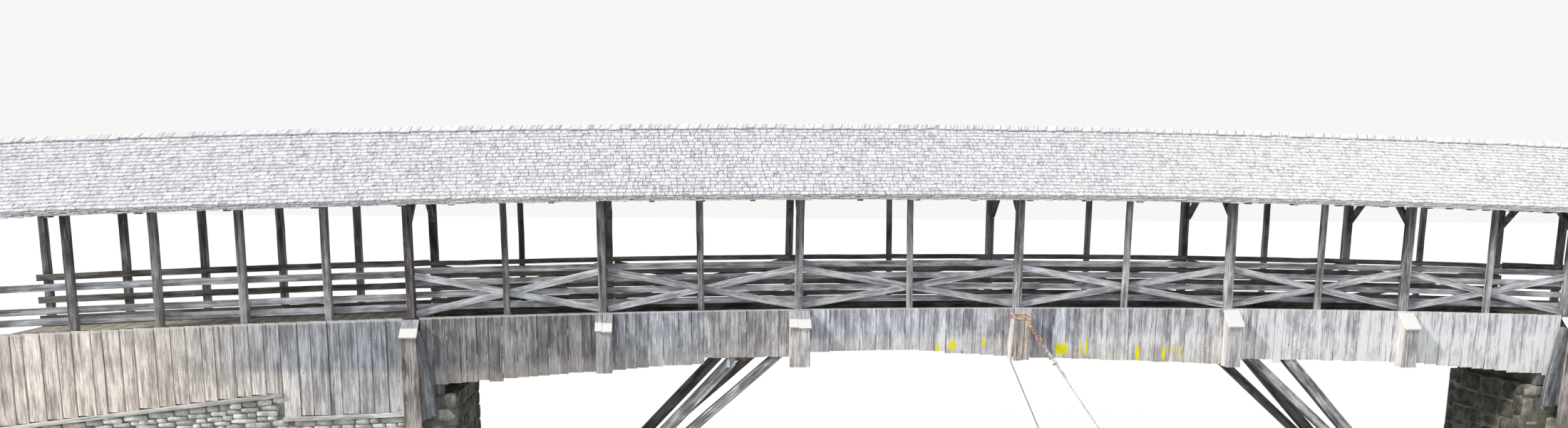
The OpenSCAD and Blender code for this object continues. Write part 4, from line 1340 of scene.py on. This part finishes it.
settle(weld("pier_wing_boards", wing_parts), WING_PAINT, "dark_boards", "pier_casings")

# %% [markdown]
# ## Roof
#
# The covering is three layers of split shingles on boards.  Courses are laid from the
# eave upwards; each shingle is a thin wedge with its thick end down, tucked under the
# next course.  A place on the roof is given by x and by the share of the way from eave
# to ridge, so one formula lays all of them: y and z go up the slope in a straight line,
# and z falls with the camber.

# %% Places on the roof
ROOF_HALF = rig.box("back_roof")[1][1]
EAVE_LOW = 1.015
RIDGE_TOP = 2.275
ROOF_T = 0.11
ROOF_RISE = (RIDGE_TOP - ROOF_T - EAVE_LOW) / ROOF_HALF
SLOPE = math.hypot(1.0, ROOF_RISE)


def on_roof(x, up, over, sign):
    """The point at x and at the share up of the way from the eave to the ridge.  It
    lies over the covering's lower face by over, measured square to the slope."""
    z = level(x, -(EAVE_LOW + up * ROOF_HALF * ROOF_RISE)) + over * SLOPE
    return points(x, -sign * ROOF_HALF * (1 - up), z)


print("a slope is %.2f m long" % (ROOF_HALF * SLOPE))

# %% Shingles
COURSES = 21
EAVE_LAYERS, EAVE_LAYER_T = 3, 0.020
SHINGLE_WIDTHS, SHINGLE_W = (0.07, 0.16), 0.10
SHINGLE_BUTTS, SHINGLE_TIP, SHINGLE_GAPS = (0.011, 0.018), 0.005, (0.002, 0.007)
SHINGLE_TONES = ((-16.9, 1.04, 1.04, 1.06), (-4.0, 1.06, 1.06, 1.08),
                 (1.0, 1.10, 1.09, 1.11), (6.0, 1.28, 1.27, 1.27), (16.9, 1.25, 1.24, 1.22))


def shingle_extra(w, colour):
    """Dark rims on the sides and the thick end of each shingle: painted shade in the gaps and under the butts, and
    weathered edges.
    """
    u, v = w.map("face")
    # Painted shade in the gaps and under the thick ends, mixed with weathered edges.
    rim_shade_and_wear = w.most(w.ramp(w.least(u, 1 - u), 0.055, 0.0), w.ramp(v, 0.13, 0.0))
    share = rim_shade_and_wear * w.ramp(w.noise(w.axes(), 9.0), 0.3, 0.7, 0.35, 0.9)
    colour = w.not_over(tones_along(w, colour, SHINGLE_TONES), 0.97)
    return w.mix(share, colour, (0.20, 0.19, 0.20))


SHINGLE_PAINT = wood_paint("shingle_silver", (0.78, 0.77, 0.79), (1.0, 0.99, 1.0),
                           (0.96, 0.95, 0.96), spread=0.14, streaks=0.4, cracks=0.5,
                           knots=0.0, extra=shingle_extra)


def shingles(name, sign, seed):
    """Courses from the eave up, after three layers whose thick ends show at the eave.
    A shingle runs from its own low end to half a course under the next but one."""
    rng = np.random.default_rng(seed)
    up_step = 1.0 / COURSES
    rows = []
    for course in range(-EAVE_LAYERS, COURSES):
        edges = np.cumsum(rng.uniform(*SHINGLE_WIDTHS, int(2 * ROOF_END / SHINGLE_W)))
        edges = edges[edges < 2 * ROOF_END] - ROOF_END
        edges = np.concatenate(([-ROOF_END], edges, [ROOF_END]))
        rows.append(points((edges[:-1] + edges[1:]) / 2, np.diff(edges), course))
    x, width, course = np.concatenate(rows).T
    count = len(x)
    up = np.maximum(course, 0) * up_step
    sunk = np.minimum(course, 0) * EAVE_LAYER_T
    low_up = np.maximum(up + rng.normal(0, 0.0035, count), -0.006)
    high_up = np.minimum(up + up_step * 1.5, 1.0)
    outer = ROOF_T / SLOPE
    line = np.stack([
        on_roof(x, low_up, outer - 0.010 + rng.uniform(0, 0.005, count) + sunk, sign),
        on_roof(x, high_up, outer - 0.024 + sunk, sign)], 1)
    roll = rng.normal(0, 0.02, count)
    wide = points(np.cos(roll), 0 * roll, np.sin(roll))
    depth = np.stack([rng.uniform(*SHINGLE_BUTTS, count), np.full(count, SHINGLE_TIP)], 1)
    width = width - rng.uniform(*SHINGLE_GAPS, count)
    return timbers(name, line, wide, np.cross(heading(line), wide), width, depth, 0.0, 0.0,
                   rng, (rng.normal(0, 0.05, count), 0.0))


print(COURSES, "courses and", EAVE_LAYERS, "layers at the eave")

# %% Roof boards, and both slopes
ROOF_BOARDS, ROOF_BOARD_T = 9, 0.030
ROOF_BOARD_PAINT = wood_paint("roof_board_brown", (0.10, 0.085, 0.07), (0.30, 0.26, 0.22),
                              spread=0.25, streaks=0.3)


def roof_boards(name, sign, seed):
    """Boards side by side up the slope, along the whole bridge."""
    up = 0.02 + 0.97 * (np.arange(ROOF_BOARDS) + 0.5) / ROOF_BOARDS
    x = np.linspace(-ROOF_END + 0.01, ROOF_END - 0.01, 41)
    line = on_roof(x[None, :], up[:, None], 0.018, sign)
    slope_dir = np.array((0.0, sign, ROOF_RISE)) / SLOPE
    return timbers(name, line, slope_dir, np.cross(slope_dir, X_AXIS),
                   0.97 * ROOF_HALF * SLOPE / ROOF_BOARDS - 0.004, ROOF_BOARD_T, 0.003, 0.0,
                   seed)


for side, sign in (("front", 1.0), ("back", -1.0)):
    settle(shingles(side + "_shingles", sign, 90 + int(sign)), SHINGLE_PAINT, "shingles",
           side + "_roof")
    settle(roof_boards(side + "_roof_boards", sign, 95 + int(sign)), ROOF_BOARD_PAINT,
           "shingles", side + "_roof")

# %% [markdown]
# ### Ridge and rafters
#
# Wider shingles close the ridge, each pair lapped over the next.  They could be one
# bent strip, but its edge would be too even from far away.  The rafters under the
# boards are timbers whose ends are cut level and upright.

# %% Ridge shingles
RIDGE_STEP = 0.165
RIDGE_HALF = 0.085
RIDGE_T = 0.012
RIDGE_LAP = 0.004
rng = np.random.default_rng(99)
ridge_x = np.arange(-ROOF_END + 0.09, ROOF_END - 0.09, RIDGE_STEP)
ridge_parts = []
for sign in (1.0, -1.0):
    x = ridge_x + rng.normal(0, 0.006, len(ridge_x))
    over = ROOF_T / SLOPE + 0.008 + RIDGE_LAP * (sign > 0)
    low_up = 1 - RIDGE_HALF / ROOF_HALF + rng.normal(0, 0.004, len(x))
    line = np.stack([on_roof(x - 0.02, low_up, over, sign),
                     on_roof(x + 0.02, 1.0 + RIDGE_LAP * (sign > 0), over, sign)], 1)
    ahead = heading(line)
    normal = np.cross(ahead, X_AXIS) * sign
    normal *= np.sign(normal[:, 2:])
    tip = rng.uniform(0.03, 0.09, len(x))[:, None]
    wide = X_AXIS * np.cos(tip) + normal * np.sin(tip)
    ridge_parts.append(timbers("ridge_part", line, wide, np.cross(ahead, wide),
                               RIDGE_STEP * 1.12, RIDGE_T, 0.0, 0.0, rng))
settle(weld("ridge_shingles", ridge_parts), SHINGLE_PAINT, "shingles", "ridge_cap")

# %% Rafters
QUARTER_X = (MAIN_X[:-1, None] + np.diff(MAIN_X)[:, None] * (0.25, 0.75)).ravel()
RAFTER_X = both_ways(np.concatenate((MAIN_X, THIN_X, QUARTER_X, APPROACH_X)))
RAFTER_H, RAFTER_W = 0.12, 0.08
rafter_rows = []
for sign in (1.0, -1.0):
    ends = [on_roof(RAFTER_X, up, -RAFTER_H / 2 / SLOPE, sign) for up in (0.05, 1.0)]
    ahead = (0.0, sign / SLOPE, ROOF_RISE / SLOPE)
    wide = np.cross(ahead, X_AXIS)
    rafter_rows.append(timbers("rafter_part", stations(*ends, 5), wide, X_AXIS,
                               RAFTER_H / SLOPE - 0.002, RAFTER_W, 0.006,
                               rng=97 + int(sign),
                               skew=(-wide[2] / ahead[2], -wide[1] / ahead[1])))
settle(weld("rafter_row", rafter_rows), ROOF_BOARD_PAINT, "frame_timber", "rafters")

# %% [markdown]
# ## Floor
#
# Planks lie across the long beams, worn pale by feet.  Each plank is a timber of its own
# with a gap of a few millimetres.

# %% Floor planks
FLOOR_PAINT = wood_paint("floor_worn", (0.36, 0.31, 0.25), (0.72, 0.66, 0.56),
                         (0.85, 0.8, 0.7), spread=0.15, streaks=0.5)
FLOOR_DEPTH = 1.0
APPROACH_DEPTH = 0.885
PLANK_T = 0.040
SLEEPER_W, SLEEPER_Y = 0.12, (-0.55, 0.0, 0.55)
FLOOR_PLANKS, APPROACH_PLANKS = 170, 34
rng = np.random.default_rng(101)


def floor_planks(name, edges, below):
    """Planks across the bridge between the edges, with tops that far below the
    handrail."""
    x = (edges[:-1] + edges[1:]) / 2
    ends = [points(x, y, level(x, below + PLANK_T / 2))
            for y in (-POST_IN + 0.001, POST_IN - 0.001)]
    return timbers(name, stations(*ends, 4), X_AXIS, Z_AXIS, np.abs(np.diff(edges)) - 0.005,
                   PLANK_T - 0.002, 0.004, 0.0015, rng)


settle(floor_planks("floor_planks", np.linspace(-BEAM_END, BEAM_END, FLOOR_PLANKS + 1),
                    FLOOR_DEPTH), FLOOR_PAINT, "floor_boards", "floor")
planks = []
for end_side in BOTH:
    edges = np.linspace(PIER_X, BEAM_END, APPROACH_PLANKS + 1)
    planks.append(floor_planks("plank_part", end_side * edges, APPROACH_DEPTH))
    for y in SLEEPER_Y:
        line = along_bridge(end_side * PIER_X, end_side * BEAM_END, y,
                            (APPROACH_DEPTH + PLANK_T + FLOOR_DEPTH) / 2)
        planks.append(timbers("plank_part", line, Y_AXIS, Z_AXIS, SLEEPER_W,
                              FLOOR_DEPTH - APPROACH_DEPTH - PLANK_T, rng=rng))
settle(weld("approach_floor_planks", planks), FLOOR_PAINT, "floor_boards",
       "approach_floors")

# %% [markdown]
# ## Hidden and plain timbers
#
# The beams, plates, ties and knee braces keep the solid model's own shape.  Their grain
# follows the axis that each of them lies along.  The struts are timbers again, cut
# aslant at the head beam and at their feet.

# %% Paints for the solid model's timbers
HEAD_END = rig.box("head_beams")[1][1]


def strut_extra(w, colour):
    """The outward faces of the struts are weathered pale; the rest stays dark."""
    _, y, _ = w.axes()
    out = w.ramp(abs(y), POST_OUT - 0.012, POST_OUT - 0.004, 0.62, 1.9)
    return w.tint(colour, out * (1.0, 0.96, 0.93))


def head_extra(w, colour):
    """The sawn ends of the head beams are pale."""
    _, y, _ = w.axes()
    end = w.ramp(abs(y), HEAD_END - 0.012, HEAD_END - 0.006)
    return w.mix(end * 0.85, colour, (0.70, 0.66, 0.61))


coat_nodes(wood_paint("beam_lengthwise", (0.07, 0.065, 0.062), (0.24, 0.23, 0.225), along=0),
           "front_long_beam", "back_long_beam", "straining_beams", "strut_saddles",
           "front_wall_plate", "back_wall_plate")
coat_nodes(wood_paint("beam_crosswise", (0.08, 0.074, 0.068), (0.26, 0.245, 0.23), along=1),
           "cross_beams", "tie_beams")
coat_nodes(wood_paint("beam_upright", (0.09, 0.085, 0.075), (0.28, 0.27, 0.25), along=2),
           "knee_braces", "pier_posts")
coat_nodes(wood_paint("head_beam_wood", (0.10, 0.080, 0.065), (0.34, 0.28, 0.24), along=1,
                      extra=head_extra), "head_beams")

# %% [markdown]
# ### Struts
#
# The struts carry the bridge and show against the light, so they get rounded edges
# and the slight bends of logs.  Their ends are cut along the same faces as in the
# solid model: upright at the head beam, and square to the footing at the foot.

# %% Struts
STRUT_PAINT = wood_paint("strut_dark", (0.085, 0.083, 0.088), (0.30, 0.30, 0.32),
                         spread=0.2, streaks=0.8, cracks=0.8, extra=strut_extra)
PLATE_BLUE = wood_paint("plate_blue_grey", (0.42, 0.50, 0.56), (0.66, 0.74, 0.80),
                        (0.9, 0.92, 0.94), spread=0.05, streaks=0.4, cracks=0.0, knots=0.0)
FOOT_FACE = np.array((0.71928, 0.0, -0.69473))
STRUTS = (("outer", (4.850, 0.0, 3.0613), (6.7008, 0.0, 1.1029), 0.185, 41),
          ("inner", (3.900, 0.0, 3.3017), (6.5792, 0.0, 0.9771), 0.145, 42))
PLATE_X, PLATE_TOP, PLATE_FOOT = 4.968, 1.650, 1.800
PLATE_W, PLATE_T = 0.062, 0.007


def slant(wide, ahead, normal):
    """How far an end cut along a plane runs on for each metre across the timber."""
    return -np.dot(wide, normal) / np.dot(ahead, normal)


rows = np.array([(0.0, sign * ROW, 0.0) for sign in BOTH])
for side, end_side in ENDS:
    for label, head, foot, thick, seed in STRUTS:
        turn = (end_side, 1, 1)
        ahead = np.subtract(foot, head) * turn
        ahead /= np.linalg.norm(ahead)
        wide = np.cross(ahead, Y_AXIS)
        settle(timbers("%s_%s_strut_logs" % (side, label),
                       stations(rows + np.multiply(head, turn),
                                rows + np.multiply(foot, turn) - ahead * 0.0005, 9),
                       wide, Y_AXIS, thick - 0.002, POST - 0.002, 0.012, 0.0015,
                       seed + int(end_side),
                       (slant(wide, ahead, X_AXIS), slant(wide, ahead, FOOT_FACE * turn))),
               STRUT_PAINT, "strut_timber", "%s_%s_struts" % (side, label))

plate_x = np.repeat((-PLATE_X, PLATE_X), 2)
plate_ends = [points(plate_x, np.tile(BOTH, 2) * (POST_OUT + 0.004), RAIL_LEVEL - below)
              for below in (PLATE_FOOT, PLATE_TOP)]
settle(timbers("strut_head_plates", stations(*plate_ends, 2), X_AXIS, Y_AXIS, PLATE_W,
               PLATE_T, 0.002, 0.0, 44),
       PLATE_BLUE, "strut_timber", "left_outer_struts", "right_outer_struts")

# %% [markdown]
# ## Stone
#
# The piers are squared blocks under old render, with blots of moss, and their faces towards the river are painted dark
# as shade and damp; the approach walls are flat rubble.  A stone is a box whose sides bulge: its points are those of a
# cube's surface, drawn towards a ball by a high power, and then moved by a few waves of its own.

# %% A cube's surface
def cube_surface(cells):
    """The points and quads of a cube from -1 to 1 with that many cells along an edge."""
    n = cells + 1
    t = np.linspace(-1, 1, n)
    u, v = (c.ravel() for c in np.meshgrid(t, t, indexing="ij"))
    i, j = (c.ravel() for c in np.meshgrid(np.arange(cells), np.arange(cells), indexing="ij"))
    quad = np.stack([i * n + j, (i + 1) * n + j, (i + 1) * n + j + 1, i * n + j + 1], -1)
    sheets, quads = [], []
    for axis in range(3):
        for side in BOTH:
            sheet = np.zeros((n * n, 3))
            sheet[:, axis], sheet[:, (axis + 1) % 3], sheet[:, (axis + 2) % 3] = side, u, v
            quads.append((quad if side > 0 else quad[:, ::-1]) + len(sheets) * n * n)
            sheets.append(sheet)
    unique, back = np.unique(np.round(np.concatenate(sheets), 6), axis=0,
                             return_inverse=True)
    return unique, back.ravel()[np.concatenate(quads)]


STONE_POINTS, STONE_QUADS = cube_surface(3)
print("one stone:", len(STONE_POINTS), "points")

# %% Stones
STONE_POWER = 7
STONE_GAP = 0.004
STONE_SUNK = 0.03


def stones(name, centres, halves, turns, rng, rough=0.05):
    """Stones at those centres with those half sizes.  A point p of the cube goes to p
    over its length by the seventh power, which rounds the box; waves then dent it."""
    length = np.sum(np.abs(STONE_POINTS) ** STONE_POWER, 1) ** (1 / STONE_POWER)
    p = (STONE_POINTS / length[:, None])[None]
    count = len(centres)
    waves = rng.uniform(1.5, 4.5, (count, 1, 3))
    phase = rng.uniform(0, 6.28, (count, 1, 3))
    dent = np.sin(p * waves + phase) \
        + 0.6 * np.sin(p[..., [1, 2, 0]] * waves * 1.7 + phase * 2.3)
    shape = np.clip(p * (1 + rough * dent), -1, 1) * halves[:, None, :]
    c, s = np.cos(turns)[:, None], np.sin(turns)[:, None]
    where = centres[:, None, :] + np.stack([shape[..., 0] * c - shape[..., 1] * s,
                                            shape[..., 0] * s + shape[..., 1] * c,
                                            shape[..., 2]], -1)
    n = len(STONE_POINTS)
    quads = (np.arange(count)[:, None, None] * n + STONE_QUADS[None]).reshape(-1, 4)
    piece = mesh_piece(name, where.reshape(-1, 3), [quads], smooth=True)
    add_number(piece, rng.random(count), n)
    return piece


print("a stone's edges are rounded by the power", STONE_POWER)

# %% Wall faces
def wall_face_stones(origin, ahead, out, length, top, courses, long_range, depth, rng):
    """Centres, half sizes and turns of the stones of one wall face.  The courses divide
    the height at each place, so they follow a sloping top."""
    cuts = np.cumsum(rng.uniform(0.7, 1.3, courses))
    cuts = np.concatenate(([0], cuts / cuts[-1]))
    centres, halves = [], []
    for low, high in zip(cuts[:-1], cuts[1:]):
        edges = np.cumsum(rng.uniform(*long_range, int(length / long_range[0]) + 2))
        edges = np.concatenate(([0], edges[edges < length - long_range[0] / 2], [length]))
        along = (edges[:-1] + edges[1:]) / 2
        height = top(along)
        centres.append(origin + along[:, None] * ahead - out * depth / 2
                       + points(0, 0, height * (low + high) / 2))
        halves.append(points(np.diff(edges) / 2 - STONE_GAP, depth / 2,
                             height * (high - low) / 2 - STONE_GAP))
    centres, halves = np.concatenate(centres), np.concatenate(halves)
    centres = centres + out * rng.uniform(-STONE_SUNK, 0, len(centres))[:, None]
    return centres, halves, np.full(len(centres), math.atan2(ahead[1], ahead[0]))


def masonry(node, top, courses, long_range, depth, seed, paint, slot, faces="fbio"):
    """Stones on the faces of a block of the solid model whose top is top(x): f is its
    front, b its back, i its left end and o its right end."""
    rng = np.random.default_rng(seed)
    (x_low, _, _), (x_high, y_half, _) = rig.box(node)
    inner = y_half - depth * 0.8
    length = x_high - x_low
    of_face = {"f": ((x_low, -y_half, 0.0), X_AXIS, -Y_AXIS, length),
               "b": ((x_low, y_half, 0.0), X_AXIS, Y_AXIS, length),
               "i": ((x_low, -inner, 0.0), Y_AXIS, -X_AXIS, 2 * inner),
               "o": ((x_high, -inner, 0.0), Y_AXIS, X_AXIS, 2 * inner)}
    sets = []
    for origin, ahead, out, length in (of_face[letter] for letter in faces):
        sets.append(wall_face_stones(np.array(origin), ahead, out, length,
                                     lambda s: top(origin[0] + s * ahead[0]), courses,
                                     long_range, depth, rng))
    settle(stones(node + "_stones", *(np.concatenate(c) for c in zip(*sets)), rng), paint,
           slot, node)


print("a stone lies up to %.0f mm deep in its face" % (STONE_SUNK * 1000))

# %% Cores behind the stones
def upright_core(end_side, near, far, y_half, z_low, z_high):
    """A plain block behind the stones, between two distances from the middle."""
    middle = end_side * (near + far) / 2
    return timbers("core", stations([(middle, 0.0, z_low)], [(middle, 0.0, z_high)], 2),
                   X_AXIS, Y_AXIS, far - near, 2 * y_half, 0.0, 0.0)


def long_core(end_side, xs, y_half, z_low, z_high):
    """A plain block along the bridge, whose foot and top may slope."""
    line = points(end_side * xs, 0.0, (z_low + z_high) / 2)
    return timbers("core", line[None], Y_AXIS, Z_AXIS, 2 * y_half, (z_high - z_low)[None],
                   0.0, 0.0)


print("cores: an upright one for a pier and a long one for a wall")

# %% Stone paints
def stone_paint(name, dark, light, moss, moss_share, river=None):
    """Grey stone with lichen blots; moss gathers on it by a broad noise. With river, the stone nearer to the middle of
    the bridge than that is darkened: painted shade, as the left pier's river face is turned from the sun, and damp."""
    def build(w):
        place, number = w.axes(), w.board()
        own = number * 41.0
        moved = place + w.vector(own, own)
        broad, fine = w.noise(moved, 6.0, 4.0), w.noise(moved, 45.0, 5.0, 0.65)
        colour = w.mix(w.ramp(broad, 0.35, 0.68), dark, light)
        colour = w.tint(colour, w.ramp(fine, 0.2, 0.85, 0.65, 1.25))
        colour = w.tint(colour, w.ramp(number, 0.0, 1.0, 0.8, 1.15))
        grown = w.ramp(w.noise(place, 1.7, 4.0, 0.7), 0.46, 0.62)
        colour = w.mix(grown * moss_share, colour, moss)
        # Painted shade, with damp: stone nearer to the middle of the bridge than river is darkened.
        if river:
            x, _, _ = place
            colour = w.tint(colour, w.ramp(abs(x), river, river + 0.03, 0.3, 1.0))
        return colour, broad * 0.8 + fine * 0.5

    return paint_of(name, build, 0.012, 0.95, 0.2, strength=0.8)


PIER_PAINT = stone_paint("pier_mossy", (0.22, 0.21, 0.185), (0.58, 0.56, 0.51),
                         (0.19, 0.19, 0.10), 0.35, river=PIER_X - 0.67)
RUBBLE_PAINT = stone_paint("rubble_pale", (0.50, 0.49, 0.46), (0.93, 0.92, 0.89),
                           (0.44, 0.44, 0.35), 0.15)
FOOTING_PAINT = stone_paint("footing_rough", (0.24, 0.23, 0.21), (0.46, 0.45, 0.42),
                            (0.22, 0.22, 0.13), 0.3)
MORTAR_PAINT = stone_paint("mortar_grey", (0.16, 0.15, 0.14), (0.32, 0.31, 0.28),
                           (0.16, 0.17, 0.08), 0.5)
coat_nodes(FOOTING_PAINT, "left_strut_footing", "right_strut_footing", "stay_anchors")
print("stone paints: 4")

# %% Piers and approach walls
PIER_TOP = 2.48
PIER_FACE = PIER_X - 0.70
UPPER_CORE_LOW, UPPER_CORE_BELOW = 1.8, 1.265
PIER_STONE_LONG, PIER_STONE_D, PIER_COURSES = (0.28, 0.62), 0.22, 9
WALL_STONE_LONG, WALL_STONE_D, WALL_COURSES = (0.12, 0.42), 0.24, 24


def pier_top(x):
    return PIER_TOP + 0 * x


def wall_top(x):
    return np.interp(np.abs(x), WALL_TOP_X, WALL_TOP_Z)


for side, end_side in ENDS:
    seed = 110 + (end_side > 0)
    _, y_half, z_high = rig.box(side + "_pier")[1]
    masonry(side + "_pier", pier_top, PIER_COURSES, PIER_STONE_LONG, PIER_STONE_D, seed,
            PIER_PAINT, "pier_stone")
    settle(weld(side + "_pier_core", [
        upright_core(end_side, PIER_FACE + 0.03, PIER_FACE + 0.83, y_half - 0.03, 0.0,
                     PIER_TOP - 0.015),
        upright_core(end_side, PIER_FACE + 0.35, PIER_FACE + 0.86, POST_IN,
                     PIER_TOP - 0.02, z_high)]), MORTAR_PAINT, "pier_stone", side + "_pier")

    masonry(side + "_approach_wall", wall_top, WALL_COURSES, WALL_STONE_LONG,
            WALL_STONE_D, seed + 2, RUBBLE_PAINT, "rubble_stone",
            faces="fbi" if end_side < 0 else "fbo")
    low_xs = np.concatenate((np.linspace(WALL_TOP_X[0], WALL_TOP_X[1] - 0.002, 3),
                             np.linspace(WALL_TOP_X[2], WALL_TOP_X[3] - 0.05, 9)))
    high_xs = np.linspace(WALL_TOP_X[0], BEAM_END - 0.02, 12)
    y_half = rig.box(side + "_approach_wall")[1][1]
    settle(weld(side + "_wall_core", [
        long_core(end_side, low_xs, y_half - 0.045, 0.0, wall_top(low_xs) - 0.02),
        long_core(end_side, high_xs, POST_IN - 0.005, UPPER_CORE_LOW,
                  level(high_xs, UPPER_CORE_BELOW))]), MORTAR_PAINT, "rubble_stone",
           side + "_approach_wall")

# %% [markdown]
# ## The stays
#
# A taut wire rope ties the middle of the bridge to an anchor block in the bank on each
# side.  At its upper end come a rusty hoop round the boxed beam end, a short chain, one
# large link, a shackle, and three clips that hold the rope's eye.

# %% Rust and steel
def build_rust_group():
    """Rust: dark to bright orange by broad noise, speckled by fine noise."""
    w, src, out = group_tree(
        "rust_bloom", {"Place": None, "Dark": (0.1, 0.05, 0.03), "Bright": (0.5, 0.2, 0.07)},
        {"Color": "Color", "Height": "Float"})
    broad, fine = w.noise(src["Place"], 22.0, 4.0), w.noise(src["Place"], 160.0, 3.0)
    colour = w.mix(w.ramp(broad, 0.35, 0.65), src["Dark"], src["Bright"])
    w.put(out.inputs["Color"], w.tint(colour, w.ramp(fine, 0.3, 0.8, 0.6, 1.3)))
    w.put(out.inputs["Height"], broad + fine * 0.5)
    return w.tree


RUST = build_rust_group()


def rust_paint(name, dark, bright, metallic, rough):
    """Rusty iron of those colours."""
    return paint_of(name, lambda w: w.group(RUST, Place=w.axes(), Dark=dark, Bright=bright),
                    0.002, rough, metallic=metallic)


CLIP_STEEL = rust_paint("clip_steel", (0.36, 0.22, 0.15), (0.80, 0.66, 0.56), 0.3, 0.55)
ROPE_STEEL = rust_paint("rope_steel", (0.58, 0.58, 0.59), (0.92, 0.92, 0.92), 0.25, 0.5)
coat_nodes(rust_paint("hoop_rust", (0.52, 0.27, 0.16), (0.93, 0.74, 0.63), 0.05, 0.75),
           "stay_hoops")
coat_nodes(rust_paint("chain_rust", (0.30, 0.12, 0.05), (0.88, 0.52, 0.32), 0.1, 0.7),
           "stay_chains")
coat_nodes(CLIP_STEEL, "stay_shackles")
print("rust group:", len(RUST.nodes), "nodes")

# %% [markdown]
# ### Wire ropes and their clips
#
# The rope comes down the stay, turns round the shackle's pin and goes back along
# itself.  It could be a curve object with a round section, but then it would have no
# strands, so its rings are bulged and twisted along the path.

# %% Tubes
def tube(name, path, normal, radius, sides, turns=0.0, lobes=0):
    """A closed tube along a flat path whose plane has that normal.  A point of a ring is
    path + radius * (normal * cos + side * sin); lobes bulge the ring like the strands
    of a rope, and turns twists them along the path."""
    side = np.cross(np.gradient(path, axis=0), normal)
    side /= np.linalg.norm(side, axis=1, keepdims=True)
    count = len(path)
    around = np.arange(sides) * 2 * math.pi / sides
    angle = around[None, :] + np.linspace(0, turns * 2 * math.pi, count)[:, None]
    bulge = radius * (0.87 + 0.13 * np.abs(np.cos(lobes / 2 * around))[None, :]
                      if lobes else 1.0)
    ring = path[:, None, :] + (normal * (np.cos(angle) * bulge)[..., None]
                               + side[:, None, :] * (np.sin(angle) * bulge)[..., None])
    k = np.arange(sides)
    s = (np.arange(count - 1) * sides)[:, None]
    quads = np.stack([s + k, s + (k + 1) % sides, s + sides + (k + 1) % sides,
                      s + sides + k], -1).reshape(-1, 4)
    caps = np.stack([k[::-1], (count - 1) * sides + k])
    return mesh_piece(name, ring.reshape(-1, 3), [quads, caps], smooth=sides > 6)


print("a tube with more than six sides is shaded smooth")

# %% The stays' lines
STAY_FROM = np.array((0.135, -(CASING_FACE + 0.042), RAIL_LEVEL - 1.095))
STAY_TO = np.array((2.145, -3.200, 0.260))
PIN_AT = 0.4215
ROPE_R, STRANDS, LAY = 0.0120, 6, 0.17
EYE_R, STRAND_OFF, TAIL = 0.0215, 0.0135, 0.62


def stay_axes(sign):
    """The pin's place, and the directions across the two strands of the eye, square to
    both, and down the stay."""
    start, end = STAY_FROM * (1, -sign, 1), STAY_TO * (1, -sign, 1)
    down = (end - start) / np.linalg.norm(end - start)
    square = np.cross(Z_AXIS, down)
    square /= np.linalg.norm(square)
    return start + down * PIN_AT, np.array((np.cross(square, down), square, down))


def flat(across, along):
    """Points (across, along) of a flat path, from arrays or numbers."""
    return np.stack(np.broadcast_arrays(across, along), -1)


def rope_path():
    """From the tail's end up to the pin, round it and down to the anchor, as (across,
    along): two straight lines and an arc between them, then smoothed."""
    first = math.asin(STRAND_OFF / EYE_R)
    arc = np.linspace(first, 2 * math.pi - first, 15)
    length = np.linalg.norm(STAY_TO - STAY_FROM) - PIN_AT + 0.010
    path = np.concatenate([flat(-STRAND_OFF, np.arange(TAIL, EYE_R, -LAY / 12)),
                           flat(-EYE_R * np.sin(arc), EYE_R * np.cos(arc)),
                           flat(STRAND_OFF, np.arange(EYE_R, length, LAY / 12)),
                           [(STRAND_OFF, length)]])
    for _ in range(3):
        path[1:-1] = (path[:-2] + 2 * path[1:-1] + path[2:]) / 4
    return path


print("a rope is %.2f m long from its pin" % np.ptp(rope_path()[:, 1]))

# %% Clips
CLIP_AT = (0.085, 0.200, 0.315)
BOW_R, BOW_T = ROPE_R + 0.006, 0.0055
SADDLE_AT, SADDLE_W, SADDLE_T, SADDLE_HALF = 0.033, 0.016, 0.030, 0.032
BOW_END, NUT_FROM, NUT_TO, NUT_R = 0.050, 0.041, 0.049, 0.0115


def clip(middle, across, square, down):
    """The parts of a rope clip: a bow round both strands, a saddle and two nuts."""
    bend = np.linspace(0, math.pi, 9)
    bow = np.concatenate([[(BOW_END, -BOW_R)], flat(-STRAND_OFF - BOW_R * np.sin(bend),
                                                    -BOW_R * np.cos(bend)),
                          [(BOW_END, BOW_R)]])
    seat, reach = middle + across * SADDLE_AT, square * SADDLE_HALF
    parts = [tube("clip_part", middle + bow @ (across, square), down, BOW_T, 8),
             timbers("clip_part", stations([seat - reach], [seat + reach], 2), across, down,
                     SADDLE_W, SADDLE_T, wander=0.0)]
    for side in BOTH:
        nut = np.outer((NUT_FROM, NUT_TO), across) + middle + square * side * BOW_R
        parts.append(tube("clip_part", nut, down, NUT_R, 6))
    return parts


print("clips at", CLIP_AT, "m down the stay from its pin")

# %% Ropes and clips
rope_parts, clip_parts = [], []
for sign in BOTH:
    pin, (across, square, down) = stay_axes(sign)
    line = pin + rope_path() @ (across, down)
    length = np.sum(np.linalg.norm(np.diff(line, axis=0), axis=1))
    rope_parts.append(tube("rope_part", line, square, ROPE_R, 3 * STRANDS, length / LAY,
                           STRANDS))
    for place in CLIP_AT:
        clip_parts += clip(pin + place * down, across, square, down)
settle(weld("wire_ropes", rope_parts), ROPE_STEEL, "wire_rope", "stay_ropes")
settle(weld("rope_clips", clip_parts), CLIP_STEEL, "wire_rope", "stay_ropes")

# Both boxes are written down.

# %% Write the two boxes and finish
LOOK_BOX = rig.bounds()
with open("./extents.json", "w") as size_file:
    json.dump({"cad": [list(map(float, corner)) for corner in CAD_BOX],
               "visual": [list(map(float, corner)) for corner in LOOK_BOX]}, size_file)
print("solid model's box", np.round(CAD_BOX, 3).tolist())
print("dressed bridge's box", np.round(LOOK_BOX, 3).tolist())
